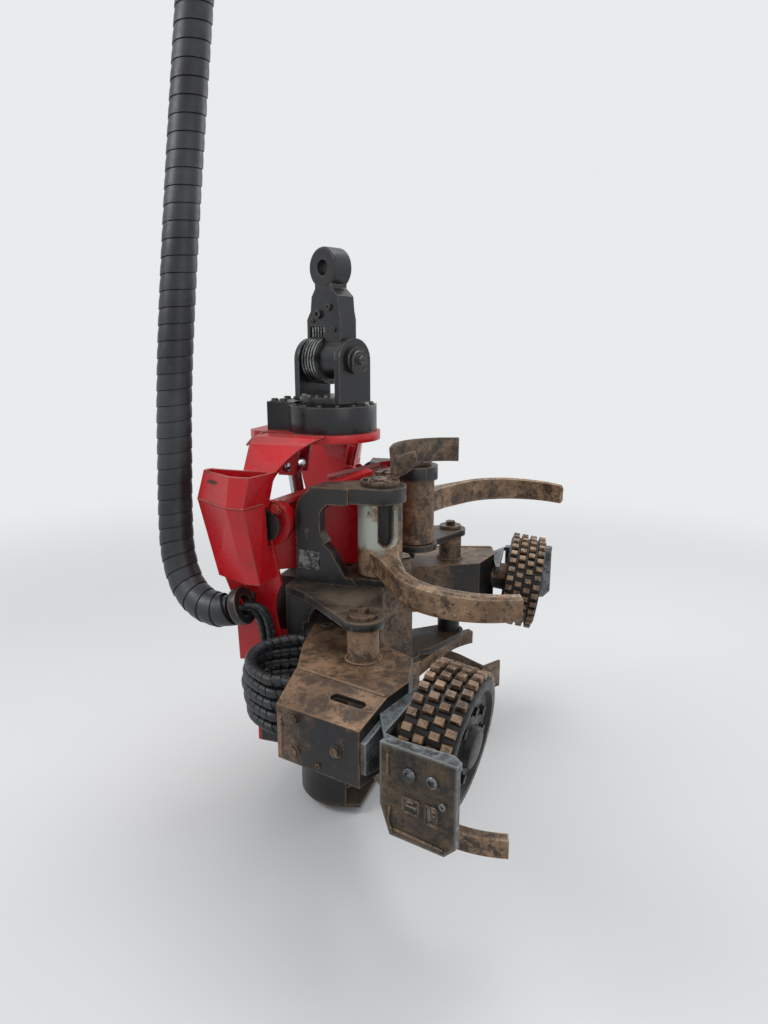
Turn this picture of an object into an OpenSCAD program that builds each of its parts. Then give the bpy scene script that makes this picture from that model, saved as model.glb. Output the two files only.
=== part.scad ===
// Harvester head with its rotator and swing link, standing in its felling position.
// The frame: X points to the open side that takes the tree, Z along the tree.
// Near pieces lie at negative Y and far pieces at positive Y.
// Heights are measured from the bottom of the saw box; the origin is the link's upper bore.

/* [Levels] */
// Underside of the rotator housing above the saw box bottom
ring_z = 1378; // [1360:1:1420]
// Height of the rotator housing
ring_h = 90; // [70:1:110]
// Swing pin above the top of the rotator housing
swing_rise = 149; // [140:1:170]
// Distance between the two bores of the swing link
link_len = 297; // [270:1:340]
// Tilt pivot above the saw box bottom
pivot_z = 1120; // [1110:1:1130]
// Tilt pivot behind the rotator axis
pivot_back = 80; // [70:1:90]

/* [Link and rotator] */
// Turn of the swing pin about the rotator axis
swing_yaw = -25; // [-40:1:0]
// Radius of the link's upper lug
lug_r = 66; // [60:1:74]
// Width of the link's upper lug
lug_w = 76; // [60:1:90]
// Radius of the pin bores at both ends of the link
link_bore_r = 25; // [20:0.5:28]
// Radius of the brake discs round the swing pin
disc_r = 68; // [60:1:76]
// Thickness of one brake disc
disc_t = 7; // [5:0.5:8]
// Number of brake discs
disc_count = 5; // [3:1:6]
// Gap between the faces of the two bracket ears
ear_gap = 176; // [170:1:190]
// Thickness of a bracket ear
ear_t = 24; // [18:1:30]
// Radius of the rotator housing
ring_r = 152; // [140:1:158]
// Radius of the bolted flange on the rotator shaft
flange_r = 112; // [100:1:125]
// Radius of the rotator shaft
shaft_r = 62; // [50:1:75]

/* [Tilt yoke] */
// Thickness of the yoke's top plate
yoke_t = 28; // [20:1:32]
// Thickness of a yoke leg
leg_t = 22; // [18:1:26]
// Distance from the middle to the middle of a leg at the pivot
leg_y = 341; // [338:1:344]
// Radius of the pivot eye in a leg
eye_r = 74; // [66:1:80]
// Radius of the tilt pivot pin
pivot_r = 35; // [28:1:40]
// Reach of the yoke's rear tongue behind the rotator axis
tongue_x = 285; // [270:1:290]

/* [Tilt cylinder] */
// Radius of the cylinder barrel
barrel_r = 42; // [36:1:46]
// Radius of the cylinder rod
rod_r = 24; // [20:1:28]
// Cylinder's lower pin below the tilt pivot
cyl_drop = 400; // [390:1:410]
// Cylinder's upper pin from the tilt pivot
cyl_arm = 150; // [146:1:154]

/* [Head frame] */
// Thickness of the red frame plates
plate_t = 14; // [10:1:16]
// Inner face of the outer side plate from the middle
side_y = 357; // [356:1:362]
// Half width of the lower frame
frame_w = 190; // [180:1:196]
// Front face of the log trough
trough_x = 178; // [165:1:185]
// Rear face of the lower frame
rear_x = -236; // [-244:1:-225]

/* [Upper knives] */
// Knife pins forward of the rotator axis
knife_x = 240; // [235:1:245]
// Knife pins from the middle
knife_y = 200; // [196:1:204]
// Radius of the knife pins
knife_pin_r = 32; // [26:1:36]
// Radius of a knife hub
hub_r = 72; // [64:1:78]
// Height of a knife blade
blade_h = 90; // [80:1:92]
// Thickness of a knife blade
blade_t = 34; // [28:1:38]
// Radius of the curved part of a knife
blade_r = 250; // [244:1:256]
// Length of the straight shank of a knife
shank_len = 278; // [270:1:286]
// Turn of the curved part of a knife
blade_turn = 95; // [85:1:98]
// Underside of the near blade
near_blade_z = 955; // [952:1:958]
// Top of the knife hubs and underside of the housing's upper arm
housing_z = 1187; // [1184:1:1192]
// Thickness of the housing's upper arm
housing_t = 50; // [40:1:56]
// Underside of the middle ear plate
ear_z = 922; // [918:1:924]
// Thickness of the middle ear plate
mid_t = 25; // [20:1:26]

/* [Feed arms] */
// Arm pins forward of the rotator axis
arm_x = 300; // [296:1:304]
// Arm pins from the middle
arm_y = 530; // [526:1:534]
// Radius of the arm pins
arm_pin_r = 30; // [26:1:34]
// Radius of the arm's hub tube
arm_hub_r = 46; // [42:1:52]
// Underside of the arm box
arm_z = 600; // [590:1:606]
// Top of the arm box
arm_top = 795; // [790:1:800]
// Thickness of the arm box walls
arm_t = 16; // [12:1:18]
// Turn of the stored arms away from the sides
arm_open = 15; // [12:1:16]
// Radius of a feed roller over its teeth
roller_r = 195; // [185:1:198]
// Width of a feed roller
roller_w = 185; // [170:1:190]
// Depth of the roller teeth
tooth_h = 18; // [14:1:22]
// Teeth in one row round a feed roller
tooth_count = 32; // [24:1:36]
// Rows of teeth on a feed roller
row_count = 4; // [3:1:5]
// Height of the roller's middle above the saw box bottom
roller_z = 675; // [670:1:680]
// Downward lean of the roller's axle
roller_tilt = 8; // [5:0.5:10]
// Turn of the roller's axle in the arm
roller_turn = 8; // [5:0.5:10]
// Thickness of the roller guard plates
guard_t = 16; // [12:1:20]

/* [Lower knives and saw] */
// Underside of the near lower knife
low_knife_z = 312; // [306:1:314]
// Height of a lower knife
low_knife_h = 56; // [50:1:58]
// Height of the saw box
saw_h = 210; // [200:1:216]
// Lift of the saw box walls
saw_wall = 12; // [8:1:14]
// Length of the saw bar from its hinge
bar_len = 640; // [600:1:680]
// Width of the saw bar
bar_w = 88; // [70:1:96]
// Radius of the measuring wheel
wheel_r = 78; // [70:1:84]

/* [Hoses] */
// Diameter of the wrapped hose bundle
bundle_d = 112; // [100:1:116]
// Diameter of one feed arm hose
arm_hose_d = 34; // [28:1:36]

/* [Hidden] */
$fn = 64;

// Clearance of a pin in its bore, and of faces that slide past each other
pin_gap = 0.3;
slide_gap = 5;

ring_top = ring_z + ring_h;
swing_z = ring_top + swing_rise;
hang_z = swing_z + link_len;
blade_gap = 10;
far_blade_z = near_blade_z + blade_h + blade_gap;
housing_top = housing_z + housing_t;
low_ear_z = 450;
frame_low = 30 + saw_h + saw_wall;
frame_top = ear_z - mid_t - 2 * pin_gap;
trough_t = 14;
frame_front = trough_x - 20 - trough_t / 2 - pin_gap;
red = "#b81420";
black = "#1c1d20";
rust = "#7d5232";
steel = "#8c8f92";

// Puts a shape, modelled from the saw box bottom up, at its place below the upper bore.
module hung() {
    translate([0, 0, -hang_z]) children();
}

// Makes the far piece from the near one.
module sided(side) {
    mirror([0, side > 0 ? 1 : 0, 0]) children();
}

// A cylinder along Y from y1 to y2 at x, z.
module bar_y(x, z, y1, y2, r) {
    translate([x, y1, z]) rotate([-90, 0, 0]) cylinder(h = y2 - y1, r = r);
}

// A flat plate in the XZ plane from y1 to y2, given by its outline.
module slab_y(y1, y2) {
    translate([0, y2, 0]) rotate([90, 0, 0]) linear_extrude(y2 - y1) children();
}

// A flat plate in the YZ plane from x1 to x2, given by its outline in Y and Z.
module slab_x(x1, x2) {
    translate([x1, 0, 0]) rotate([90, 0, 90]) linear_extrude(x2 - x1) children();
}

// A level plate between two heights.
module slab_z(z1, z2) {
    translate([0, 0, z1]) linear_extrude(z2 - z1) children();
}

// A bent strip of one thickness along a path of points, with mitred corners.
function turned(v) = [-v[1], v[0]] / norm(v);
function left_of(p, i) = turned(p[min(i + 1, len(p) - 1)] - p[min(i, len(p) - 2)]);
function mitre(p, i) = let (a = left_of(p, max(i - 1, 0)), b = left_of(p, i)) (a + b) / (1 + a * b);

module strip(path, t) {
    n = len(path);
    polygon(concat([for (i = [0:n - 1]) path[i] + mitre(path, i) * t / 2],
        [for (i = [n - 1:-1:0]) path[i] - mitre(path, i) * t / 2]));
}

// A round bar between two points in a plane.
module lobe(a, b, r) {
    d = b - a;
    translate(a) circle(r);
    translate(b) circle(r);
    translate(a) rotate(atan2(d[1], d[0])) translate([0, -r]) square([norm(d), 2 * r]);
}

// Swing link: an upper eye, a neck and a clamp round the swing pin, whose two pins cross.
clamp_w = ear_gap - 2 * slide_gap;
stack_w = disc_count * disc_t * 2 - disc_t;
eye_w = clamp_w - stack_w - 2 * disc_t;

module link_body() {
    translate([0, 0, hang_z]) rotate([0, 0, swing_yaw]) rotate([90, 0, 0])
        translate([0, 0, -lug_w / 2]) cylinder(h = lug_w, r = lug_r);
    translate([0, 0, swing_z]) rotate([0, 0, swing_yaw]) {
        translate([clamp_w / 2 - eye_w, 0, 0]) rotate([0, 90, 0]) cylinder(h = eye_w, r = disc_r - 8);
        translate([-clamp_w / 2, 0, 0]) rotate([0, 90, 0]) cylinder(h = clamp_w, r = disc_r - 26);
        slab_y(-lug_w / 2 + 6, lug_w / 2 - 6) polygon([
            [-32, link_len], [32, link_len], [32, 130],
            [clamp_w / 2, 70], [clamp_w / 2, 0],
            [clamp_w / 2 - eye_w, 0], [clamp_w / 2 - eye_w, disc_r + 8],
            [-clamp_w / 2 + 10, disc_r + 8], [-clamp_w / 2 + 10, 96], [-32, 130]]);
    }
}

module link() {
    color(black) hung() difference() {
        link_body();
        translate([0, 0, hang_z]) rotate([0, 0, swing_yaw]) rotate([90, 0, 0])
            translate([0, 0, -lug_w]) cylinder(h = 2 * lug_w, r = link_bore_r);
        translate([0, 0, swing_z]) rotate([0, 0, swing_yaw]) translate([-clamp_w, 0, 0])
            rotate([0, 90, 0]) cylinder(h = 2 * clamp_w, r = link_bore_r + pin_gap);
    }
}

// Brake discs: thin rings on the link's hub, with air between them.
module brake_discs() {
    color(steel) hung() translate([0, 0, swing_z]) rotate([0, 0, swing_yaw])
        for (i = [0:disc_count - 1])
            translate([-clamp_w / 2 + disc_t + 2 * disc_t * i, 0, 0]) rotate([0, 90, 0])
                difference() {
                    cylinder(h = disc_t, r = disc_r);
                    translate([0, 0, -1]) cylinder(h = disc_t + 2, r = disc_r - 26 + pin_gap);
                }
}

// Rotator bracket: a bolted flange with two tall ears, and the shaft that turns in the housing.
module rotator_bracket() {
    color(black) hung() {
        translate([0, 0, ring_top + 2]) cylinder(h = 26, r = flange_r);
        translate([0, 0, ring_z + 20]) cylinder(h = ring_h - 18, r = shaft_r);
        translate([0, 0, swing_z]) rotate([0, 0, swing_yaw]) for (s = [-1, 1])
            difference() {
                slab_x(s * (ear_gap / 2 + ear_t / 2) - ear_t / 2,
                        s * (ear_gap / 2 + ear_t / 2) + ear_t / 2) {
                    circle(disc_r + 4);
                    translate([-disc_r - 4, -swing_rise + 10]) square([2 * disc_r + 8, swing_rise - 10]);
                }
                translate([s * ear_gap / 2 - 40, 0, 0]) rotate([0, 90, 0])
                    cylinder(h = 80, r = link_bore_r + pin_gap);
            }
    }
}

// Swing pin with its two caps.
module swing_pin() {
    cap_x = ear_gap / 2 + ear_t;
    color(steel) hung() translate([0, 0, swing_z]) rotate([0, 0, swing_yaw]) {
        translate([-cap_x, 0, 0]) rotate([0, 90, 0]) cylinder(h = 2 * cap_x, r = link_bore_r);
        for (s = [-1, 1]) translate([s > 0 ? cap_x : -cap_x - 14, 0, 0]) rotate([0, 90, 0])
            cylinder(h = 14, r = 44);
    }
}

// Rotator housing: a thick ring on the yoke, with the motor block behind it.
module rotator_housing() {
    color(black) hung() {
        difference() {
            translate([0, 0, ring_z]) cylinder(h = ring_h, r = ring_r);
            translate([0, 0, ring_z + 20 - 2]) cylinder(h = ring_h, r = shaft_r + 1);
        }
        translate([-220, -62, ring_z]) cube([102, 150, ring_h + 8]);
    }
}

// Tilt yoke: a top plate under the housing and two legs that flare out to the pivots.
module yoke_leg() {
    leg_top = ring_z - yoke_t / 2;
    difference() {
        union() {
            intersection() {
                slab_x(-205, 60) strip([[-120, leg_top], [-205, leg_top], [-246, leg_top - 18],
                    [-322, leg_top - 92], [-leg_y, leg_top - 136], [-leg_y, pivot_z]], leg_t);
                slab_y(-400, -100) difference() {
                    polygon([[-200, 1400], [60, 1400], [60, pivot_z], [-pivot_back - 60, pivot_z]]);
                    translate([125, pivot_z + 60]) circle(212);
                }
            }
            bar_y(-pivot_back, pivot_z, -leg_y - leg_t / 2, -leg_y + leg_t / 2, eye_r);
        }
        bar_y(-pivot_back, pivot_z, -400, -300, pivot_r + pin_gap);
    }
}

cyl_pin_r = 20;
cyl_top = [-pivot_back + cyl_arm * cos(120), pivot_z + cyl_arm * sin(120)];
cyl_low = [-pivot_back, pivot_z - cyl_drop];

module tilt_yoke() {
    color(red) hung() {
        slab_z(ring_z - yoke_t, ring_z) {
            circle(ring_r + 12);
            polygon([[-tongue_x + 30, -95], [-tongue_x, -65], [-tongue_x, 65], [-tongue_x + 30, 95],
                [0, ring_r + 12], [0, -ring_r - 12]]);
        }
        for (s = [-1, 1]) sided(s) yoke_leg();
        for (s = [-1, 1]) difference() {
            slab_y(s * 50 - 9, s * 50 + 9) polygon([[cyl_top[0] - 40, ring_z - 10],
                [cyl_top[0] - 30, cyl_top[1] - 30], [cyl_top[0] + 30, cyl_top[1] - 30],
                [cyl_top[0] + 60, ring_z - 10]]);
            bar_y(cyl_top[0], cyl_top[1], s * 50 - 20, s * 50 + 20, 20);
        }
    }
}

// Tilt cylinder: the barrel swings on the head and the rod's eye works between the yoke's lugs.
cyl_len = norm(cyl_top - cyl_low);
cyl_ang = atan2(cyl_top[1] - cyl_low[1], cyl_top[0] - cyl_low[0]);
barrel_len = 300;

module along_cylinder() {
    translate([cyl_low[0], 0, cyl_low[1]]) rotate([0, 90 - cyl_ang, 0]) children();
}

module tilt_barrel() {
    color(black) hung() along_cylinder() {
        difference() {
            union() {
                translate([0, 0, 56]) cylinder(h = barrel_len - 56, r = barrel_r);
                translate([0, 28, 0]) rotate([90, 0, 0]) cylinder(h = 56, r = 34);
                translate([-25, -28, 0]) cube([50, 56, 60]);
            }
            translate([0, 0, 62]) cylinder(h = barrel_len, r = rod_r + pin_gap);
            translate([0, 40, 0]) rotate([90, 0, 0]) cylinder(h = 80, r = 20 + pin_gap);
        }
    }
}

module tilt_rod() {
    color("#c8ccd0") hung() along_cylinder() difference() {
        union() {
            translate([0, 0, 254]) cylinder(h = cyl_len - 274, r = rod_r);
            translate([0, 30, cyl_len]) rotate([90, 0, 0]) cylinder(h = 60, r = 36);
        }
        translate([0, 40, cyl_len]) rotate([90, 0, 0]) cylinder(h = 80, r = 21);
    }
}

// Head frame: two plates that narrow toward the front, with a wide sloping flange on top.
wing_rear = [-110, -297];
boss_out = 324;
bore_end = 303;
wing_front = [177, -100];
wing_len = norm(wing_front - wing_rear);
wing_yaw = atan2(wing_front[1] - wing_rear[1], wing_front[0] - wing_rear[0]);
wing_low = ear_z + mid_t + pin_gap;
wing_rear_z = 1156;
wing_front_z = 1252;

module frame_wing() {
    translate([wing_rear[0], wing_rear[1], 0]) rotate([0, 0, wing_yaw]) {
        slab_y(0, plate_t) polygon([[0, wing_low], [wing_len, wing_low], [wing_len, wing_front_z],
            [0, wing_rear_z]]);
        slab_y(-16, 46) polygon([[0, wing_rear_z - 2], [wing_len, wing_front_z - 2],
            [wing_len, wing_front_z + plate_t - 2], [0, wing_rear_z + plate_t - 2]]);
    }
}

module head_frame() {
    color(red) hung() {
        for (s = [-1, 1]) sided(s) difference() {
            union() {
                frame_wing();
                bar_y(-pivot_back, pivot_z, -boss_out, -272, 62);
            }
            bar_y(-pivot_back, pivot_z, -400, -bore_end, pivot_r + pin_gap);
        }
        slab_x(158, 172) polygon([[-100, wing_low], [100, wing_low], [100, 1180], [-100, 1180]]);
    }
}

// Outer side plate: a long red plate beside the yoke's leg, with its wavy front edge.
module side_plate(side) {
    color(red) hung() sided(side) {
        difference() {
            slab_y(-side_y - plate_t, -side_y) polygon([[-52, 1270], [-66, 1220], [-73, 1177],
                [-70, 1120], [-60, 1061], [-33, 928], [-52, 885], [-57, 838], [-50, 790],
                [-36, 745], [-33, 705], [-55, 674], [-193, 654], [-200, 850], [-238, 943],
                [-300, 1195], [-270, 1290]]);
            bar_y(-pivot_back, pivot_z, -400, -300, pivot_r + pin_gap);
        }
        slab_z(680, 700) polygon([[-185, -side_y], [-60, -side_y], [-60, -frame_w - pin_gap],
            [-185, -frame_w - pin_gap]]);
        slab_x(-185, -171) polygon([[-side_y, 700], [-frame_w - pin_gap, 700],
            [-frame_w - pin_gap, 720], [-side_y, 840]]);
    }
}

module side_plate_near() { side_plate(-1); }
module side_plate_far() { side_plate(1); }

// Pivot pins between the frame's bosses and the outer side plates.
module pivot_pins() {
    color(steel) hung() for (s = [-1, 1]) sided(s) {
        bar_y(-pivot_back, pivot_z, -side_y - plate_t, -bore_end - pin_gap, pivot_r);
        bar_y(-pivot_back, pivot_z, -side_y - plate_t - 12, -side_y - plate_t, pivot_r + 16);
    }
}

// Pivot guard: a folded red tub over each tilt pivot, open toward the side plate.
guard_y = side_y + plate_t;
guard_top = [[-273, -400], [-134, -490], [-67, -490], [-42, -400], [-42, -guard_y], [-273, -guard_y]];
guard_knee = [[-302, -400], [-143, -500], [-85, -500], [-64, -410], [-64, -guard_y], [-302, -guard_y]];
guard_foot = [[-238, -400], [-113, -460], [-61, -460], [-55, -400], [-55, -guard_y], [-238, -guard_y]];

module guard_slice(points, z) {
    translate([0, 0, z]) linear_extrude(0.5) polygon(points);
}

module pivot_guard(side) {
    color(red) hung() sided(side) difference() {
        union() {
            hull() {
                guard_slice(guard_top, 1290);
                guard_slice(guard_knee, 1197);
            }
            hull() {
                guard_slice(guard_knee, 1197);
                guard_slice(guard_foot, 950);
            }
        }
        translate([-160, -430, 1262]) linear_extrude(60)
            polygon([[-98, 20], [24, -48], [84, -48], [104, 20], [104, 47], [-98, 47]]);
        bar_y(-pivot_back, pivot_z, -guard_y - 30, -guard_y + 1, pivot_r + 30);
    }
}

module pivot_guard_near() { pivot_guard(-1); }
module pivot_guard_far() { pivot_guard(1); }

// Lower frame: side walls, floors and a slotted deck that carry the arms, knives and saw.
slot_y = 62;
wheel_x = trough_x + 10 - wheel_r;
wheel_z = 552;

module lower_frame() {
    back = rear_x + 12;
    color(black) hung() {
        for (s = [-1, 1]) sided(s) slab_y(-frame_w, -frame_w + 18) polygon([
            [back, frame_low], [frame_front, frame_low], [frame_front, frame_top],
            [-130, frame_top], [back, 690]]);
        for (z = [frame_low, 640]) slab_z(z, z + 16) polygon([[back, -frame_w + 18],
            [frame_front, -frame_w + 18], [frame_front, frame_w - 18], [back, frame_w - 18]]);
        slab_z(frame_top - 20, frame_top) polygon([[-130, -frame_w + 18], [frame_front, -frame_w + 18],
            [frame_front, frame_w - 18], [-130, frame_w - 18], [-130, slot_y], [70, slot_y],
            [70, -slot_y], [-130, -slot_y]]);
        for (s = [-1, 1]) difference() {
            slab_y(s * 44 - 10, s * 44 + 10) polygon([[cyl_low[0] - 50, 656], [cyl_low[0] + 70, 656],
                [cyl_low[0] + 34, cyl_low[1] + 34], [cyl_low[0] - 34, cyl_low[1] + 34]]);
            bar_y(cyl_low[0], cyl_low[1], s * 44 - 20, s * 44 + 20, cyl_pin_r);
        }
        bar_y(cyl_low[0], cyl_low[1], -54, 54, cyl_pin_r);
        for (s = [-1, 1]) slab_y(s * 24 - 6, s * 24 + 6) polygon([[wheel_x - 26, 640],
            [wheel_x - 20, wheel_z - 20], [wheel_x + 20, wheel_z - 20], [frame_front - 4, 640]]);
        bar_y(wheel_x, wheel_z, -30, 30, 13);
        slab_x(frame_front - 14, frame_front) polygon([[-frame_w + 18, frame_low],
            [frame_w - 18, frame_low], [frame_w - 18, low_ear_z], [-frame_w + 18, low_ear_z]]);
    }
}

// Rear cover: a bolted hatch over the back of the lower frame.
module rear_cover() {
    color(red) hung() slab_x(rear_x, rear_x + 12 - pin_gap) polygon([
        [-frame_w, frame_low], [frame_w, frame_low], [frame_w, 640], [frame_w - 40, 686],
        [-frame_w + 40, 686], [-frame_w, 640]]);
}

// Log trough: the worn plate that the tree lies against, with two turned-out edges and a slot.
module log_trough() {
    color(rust) hung() difference() {
        slab_z(low_ear_z + 6, frame_top - 8)
            strip([[trough_x + 60, -frame_w + 12], [trough_x - 20, -90], [trough_x - 20, 90],
                [trough_x + 60, frame_w - 12]], trough_t);
        translate([trough_x - 60, -18, wheel_z - wheel_r - 8]) cube([80, 36, 2 * wheel_r + 16]);
    }
}

// Valve blocks seen through the yoke's arch, with a row of ports.
module valve_block() {
    color("#6c6f6e") hung() for (s = [-1, 1]) sided(s) {
        translate([-122, -118, frame_top + pin_gap]) cube([90, 46, 190]);
        for (i = [0:3]) translate([-122, -95, frame_top + 30 + 44 * i]) rotate([0, -90, 0])
            cylinder(h = 26, r = 14);
    }
}

// Knife housing: a thick rounded C beside the knife, with its upper and lower arms.
module housing_plan(z1, z2) {
    slab_z(z1, z2) difference() {
        union() {
            translate([knife_x, -knife_y]) circle(hub_r + 12);
            polygon([[40, -302], [knife_x, -knife_y - hub_r - 12], [knife_x + 60, -knife_y + 60],
                [knife_x, -knife_y + hub_r + 12], [196, -118], [60, -212]]);
        }
        translate([knife_x, -knife_y]) circle(knife_pin_r + pin_gap);
    }
}

module knife_housing(side) {
    color(black) hung() sided(side) {
        slab_y(-302, -258) difference() {
            union() {
                translate([80, housing_top - 90]) circle(90);
                translate([-10, ear_z]) square([90, housing_top - 90 - ear_z]);
                translate([80, housing_z]) square([90, housing_t]);
                polygon([[0, ear_z], [200, ear_z], [150, 990], [60, 1080]]);
            }
            polygon([[74, housing_z - 30], [100, housing_z - 4], [200, housing_z - 4],
                [200, 950], [158, 950], [110, 1030], [74, 1090]]);
        }
        housing_plan(housing_z, housing_top);
        housing_plan(ear_z, ear_z + mid_t);
    }
}

module knife_housing_near() { knife_housing(-1); }
module knife_housing_far() { knife_housing(1); }

// Knife pins with their bolted caps on the housing's upper arm.
module knife_pins() {
    color(steel) hung() for (s = [-1, 1]) sided(s) translate([knife_x, -knife_y, 0]) {
        translate([0, 0, ear_z]) cylinder(h = housing_top - ear_z, r = knife_pin_r);
        translate([0, 0, housing_top]) cylinder(h = 16, r = 62);
    }
}

// Fixed top knife: a curved blade round the tree on its bolted foot.
fixed_c = 430;
fixed_r = 196;
foot_t = 14;

module fixed_knife() {
    foot = housing_top + foot_t;
    color(rust) hung() {
        slab_z(housing_top, foot) polygon([[192, -128], [250, -128], [262, -90], [262, 90],
            [250, 128], [192, 128]]);
        translate([fixed_c, 0, foot]) rotate([0, 0, 157]) rotate_extrude(angle = 46)
            polygon([[fixed_r - 10, 0], [fixed_r + 16, 0], [fixed_r + 12, 20], [fixed_r - 2, 20]]);
        translate([fixed_c, 0, foot + 8]) rotate([0, 0, 98]) rotate_extrude(angle = 118)
            polygon([[fixed_r, 0], [fixed_r + 12, 0], [fixed_r + 18, 74], [fixed_r + 10, 84]]);
    }
}

// Upper knife: a hub on the knife pin, a straight shank and a curved blade.
module knife(side, z, hub_low) {
    color(rust) hung() sided(side) translate([knife_x, -knife_y, 0]) difference() {
        union() {
            translate([0, 0, hub_low]) cylinder(h = housing_z - pin_gap - hub_low, r = hub_r);
            rotate([0, 0, -60]) {
                translate([0, 0, z]) linear_extrude(blade_h) polygon([[0, -hub_r + 4], [70, -blade_t],
                    [shank_len, -blade_t / 2], [shank_len, blade_t / 2], [60, blade_t + 16],
                    [0, hub_r - 4]]);
                translate([shank_len, blade_r, z]) rotate([0, 0, -90]) rotate_extrude(angle = blade_turn)
                    polygon([[blade_r - blade_t / 2, 8], [blade_r - 4, 0], [blade_r + blade_t / 2, 10],
                        [blade_r + blade_t / 2, blade_h - 24], [blade_r - 4, blade_h],
                        [blade_r - blade_t / 2, blade_h - 4]]);
            }
        }
        translate([0, 0, ear_z]) cylinder(h = 400, r = knife_pin_r + pin_gap);
    }
}

module upper_knife_near() { knife(-1, near_blade_z, ear_z + mid_t + pin_gap); }
module upper_knife_far() { knife(1, far_blade_z, ear_z + mid_t + pin_gap); }

// Arm bracket: the middle ear, the arched web and the lower ear that hold one feed arm.
web_y = 340;
web_t = 20;

module ear_plan(inner) {
    difference() {
        union() {
            translate([arm_x, -arm_y]) circle(62);
            polygon([[-28, -inner], [-28, -web_y - 10], [60, -web_y - 60], [arm_x - 50, -arm_y - 36],
                [arm_x + 58, -arm_y + 24], [arm_x - 20, -312], [140, -frame_w], [140, -inner]]);
        }
        translate([arm_x, -arm_y]) circle(arm_pin_r + pin_gap);
    }
}

module arm_bracket(side) {
    web_top = ear_z - pin_gap - mid_t;
    color(black) hung() sided(side) {
        slab_z(web_top, ear_z - pin_gap) ear_plan(frame_w - 60);
        slab_z(low_ear_z, low_ear_z + mid_t) difference() {
            union() {
                ear_plan(frame_w + pin_gap);
                translate([low_x, -low_y]) circle(low_pin_r + 24);
            }
            translate([low_x, -low_y]) circle(low_pin_r + pin_gap);
        }
        slab_y(-web_y - web_t / 2, -web_y + web_t / 2) difference() {
            polygon([[-28, low_ear_z], [-28, web_top + 5], [200, web_top + 5], [200, 836], [30, 800],
                [30, low_ear_z]]);
            translate([126, 800]) circle(76);
        }
    }
}

module arm_bracket_near() { arm_bracket(-1); }
module arm_bracket_far() { arm_bracket(1); }

// Arm pins with their heads on the middle ears.
module arm_pins() {
    color(steel) hung() for (s = [-1, 1]) sided(s) translate([arm_x, -arm_y, 0]) {
        translate([0, 0, low_ear_z - 10]) cylinder(h = ear_z - pin_gap + 10 - low_ear_z, r = arm_pin_r);
        translate([0, 0, ear_z - pin_gap]) cylinder(h = 14, r = 44);
        translate([0, 0, ear_z - pin_gap + 14]) cylinder(h = 16, r = 20, $fn = 6);
    }
}

// Feed arm: a hub tube and a welded box with a slotted slope, turned to its open place.
tail = [-246, 132];
tail_r = 34;
box_right = 190;
box_front = -290;
slope_y = -165;
slope_turn = 17;
roller_x = 325;
axle_r = 45;
drum_r = 56;
roller_y = -70;

module at_arm(side) {
    hung() sided(side) translate([arm_x, -arm_y, 0]) rotate([0, 0, -arm_open]) children();
}

// The roller's own frame in the arm, with X along its axle.
module at_axle() {
    translate([roller_x, roller_y, roller_z]) rotate([0, 0, roller_turn]) rotate([0, roller_tilt, 0])
        children();
}

module box_plan(inset) {
    polygon([[tail[0] - 20 + inset, tail[1] + 26 - inset], [-38, 118 - inset], [60, 96 - inset],
        [120, 78 - inset], [box_right - inset, -60], [box_right - inset, box_front + inset],
        [-76 + inset, box_front + inset], [-117 + inset, -156], [-205 + inset, -23],
        [tail[0] - 28 + inset, tail[1] - 18]]);
}

module box_solid(inset, low) {
    difference() {
        slab_z(low, arm_top - inset) box_plan(inset);
        translate([-400, slope_y, arm_top - inset]) rotate([slope_turn, 0, 0]) translate([0, -300, 0])
            cube([800, 300, 200]);
    }
}

module feed_arm(side) {
    color(rust) at_arm(side) difference() {
        union() {
            difference() {
                union() {
                    box_solid(0, arm_z);
                    translate([tail[0], tail[1], arm_z]) cylinder(h = arm_top - arm_z, r = tail_r);
                }
                box_solid(arm_t, arm_z - 1);
                translate([58, -212, arm_top - 80]) cylinder(h = 90, r = 13);
                translate([142, -212, arm_top - 80]) cylinder(h = 90, r = 13);
                translate([58, -225, arm_top - 80]) cube([84, 26, 90]);
                translate([tail[0], tail[1], arm_z + 40]) cylinder(h = arm_top - arm_z - 60, r = 60);
            }
            translate([0, 0, low_ear_z + mid_t + pin_gap])
                cylinder(h = ear_z - low_ear_z - 2 * mid_t - 3 * pin_gap, r = arm_hub_r);
            at_axle() translate([-31, 0, 0]) rotate([0, 90, 0]) cylinder(h = roller_w / 2 + 5, r = axle_r);
            intersection() {
                at_axle() translate([-210, 0, 0]) rotate([0, 90, 0]) cylinder(h = 180, r = drum_r);
                translate([box_right - arm_t + 1, -300, 0]) cube([400, 600, 1000]);
            }
        }
        translate([0, 0, low_ear_z]) cylinder(h = 600, r = arm_pin_r + pin_gap);
    }
}

module feed_arm_near() { feed_arm(-1); }
module feed_arm_far() { feed_arm(1); }

// Roller guard: a curved top plate that folds down in front of the roller's open side.
guard_z = 765;
guard_face = -292;

module roller_guard(side) {
    color(steel) at_arm(side) difference() {
        union() {
            slab_z(guard_z - guard_t, guard_z) polygon([[box_right + pin_gap, 20], [206, 30], [214, -40],
                [232, -140], [244, -215], [251, -268], [300, -275], [440, -266], [470, -284],
                [470, guard_face - guard_t], [280, guard_face - guard_t],
                [box_right + pin_gap, -200]]);
            slab_y(guard_face - guard_t, guard_face) difference() {
                union() {
                    polygon([[262, 600], [290, 524], [440, 524], [470, 554], [470, guard_z],
                        [262, guard_z]]);
                }
                polygon([[330, 606], [372, 606], [372, 640], [330, 640]]);
                polygon([[392, 596], [420, 596], [420, 640], [392, 640]]);
            }
            slab_x(box_right + pin_gap, box_right + pin_gap + guard_t) polygon([
                [-200, guard_z - guard_t], [-286, guard_z - 40], [-286, 640], [-200, 620],
                [20, guard_z - guard_t]]);
        }
        at_axle() translate([-210, 0, 0]) rotate([0, 90, 0]) cylinder(h = 200, r = drum_r + 4);
    }
}

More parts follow.
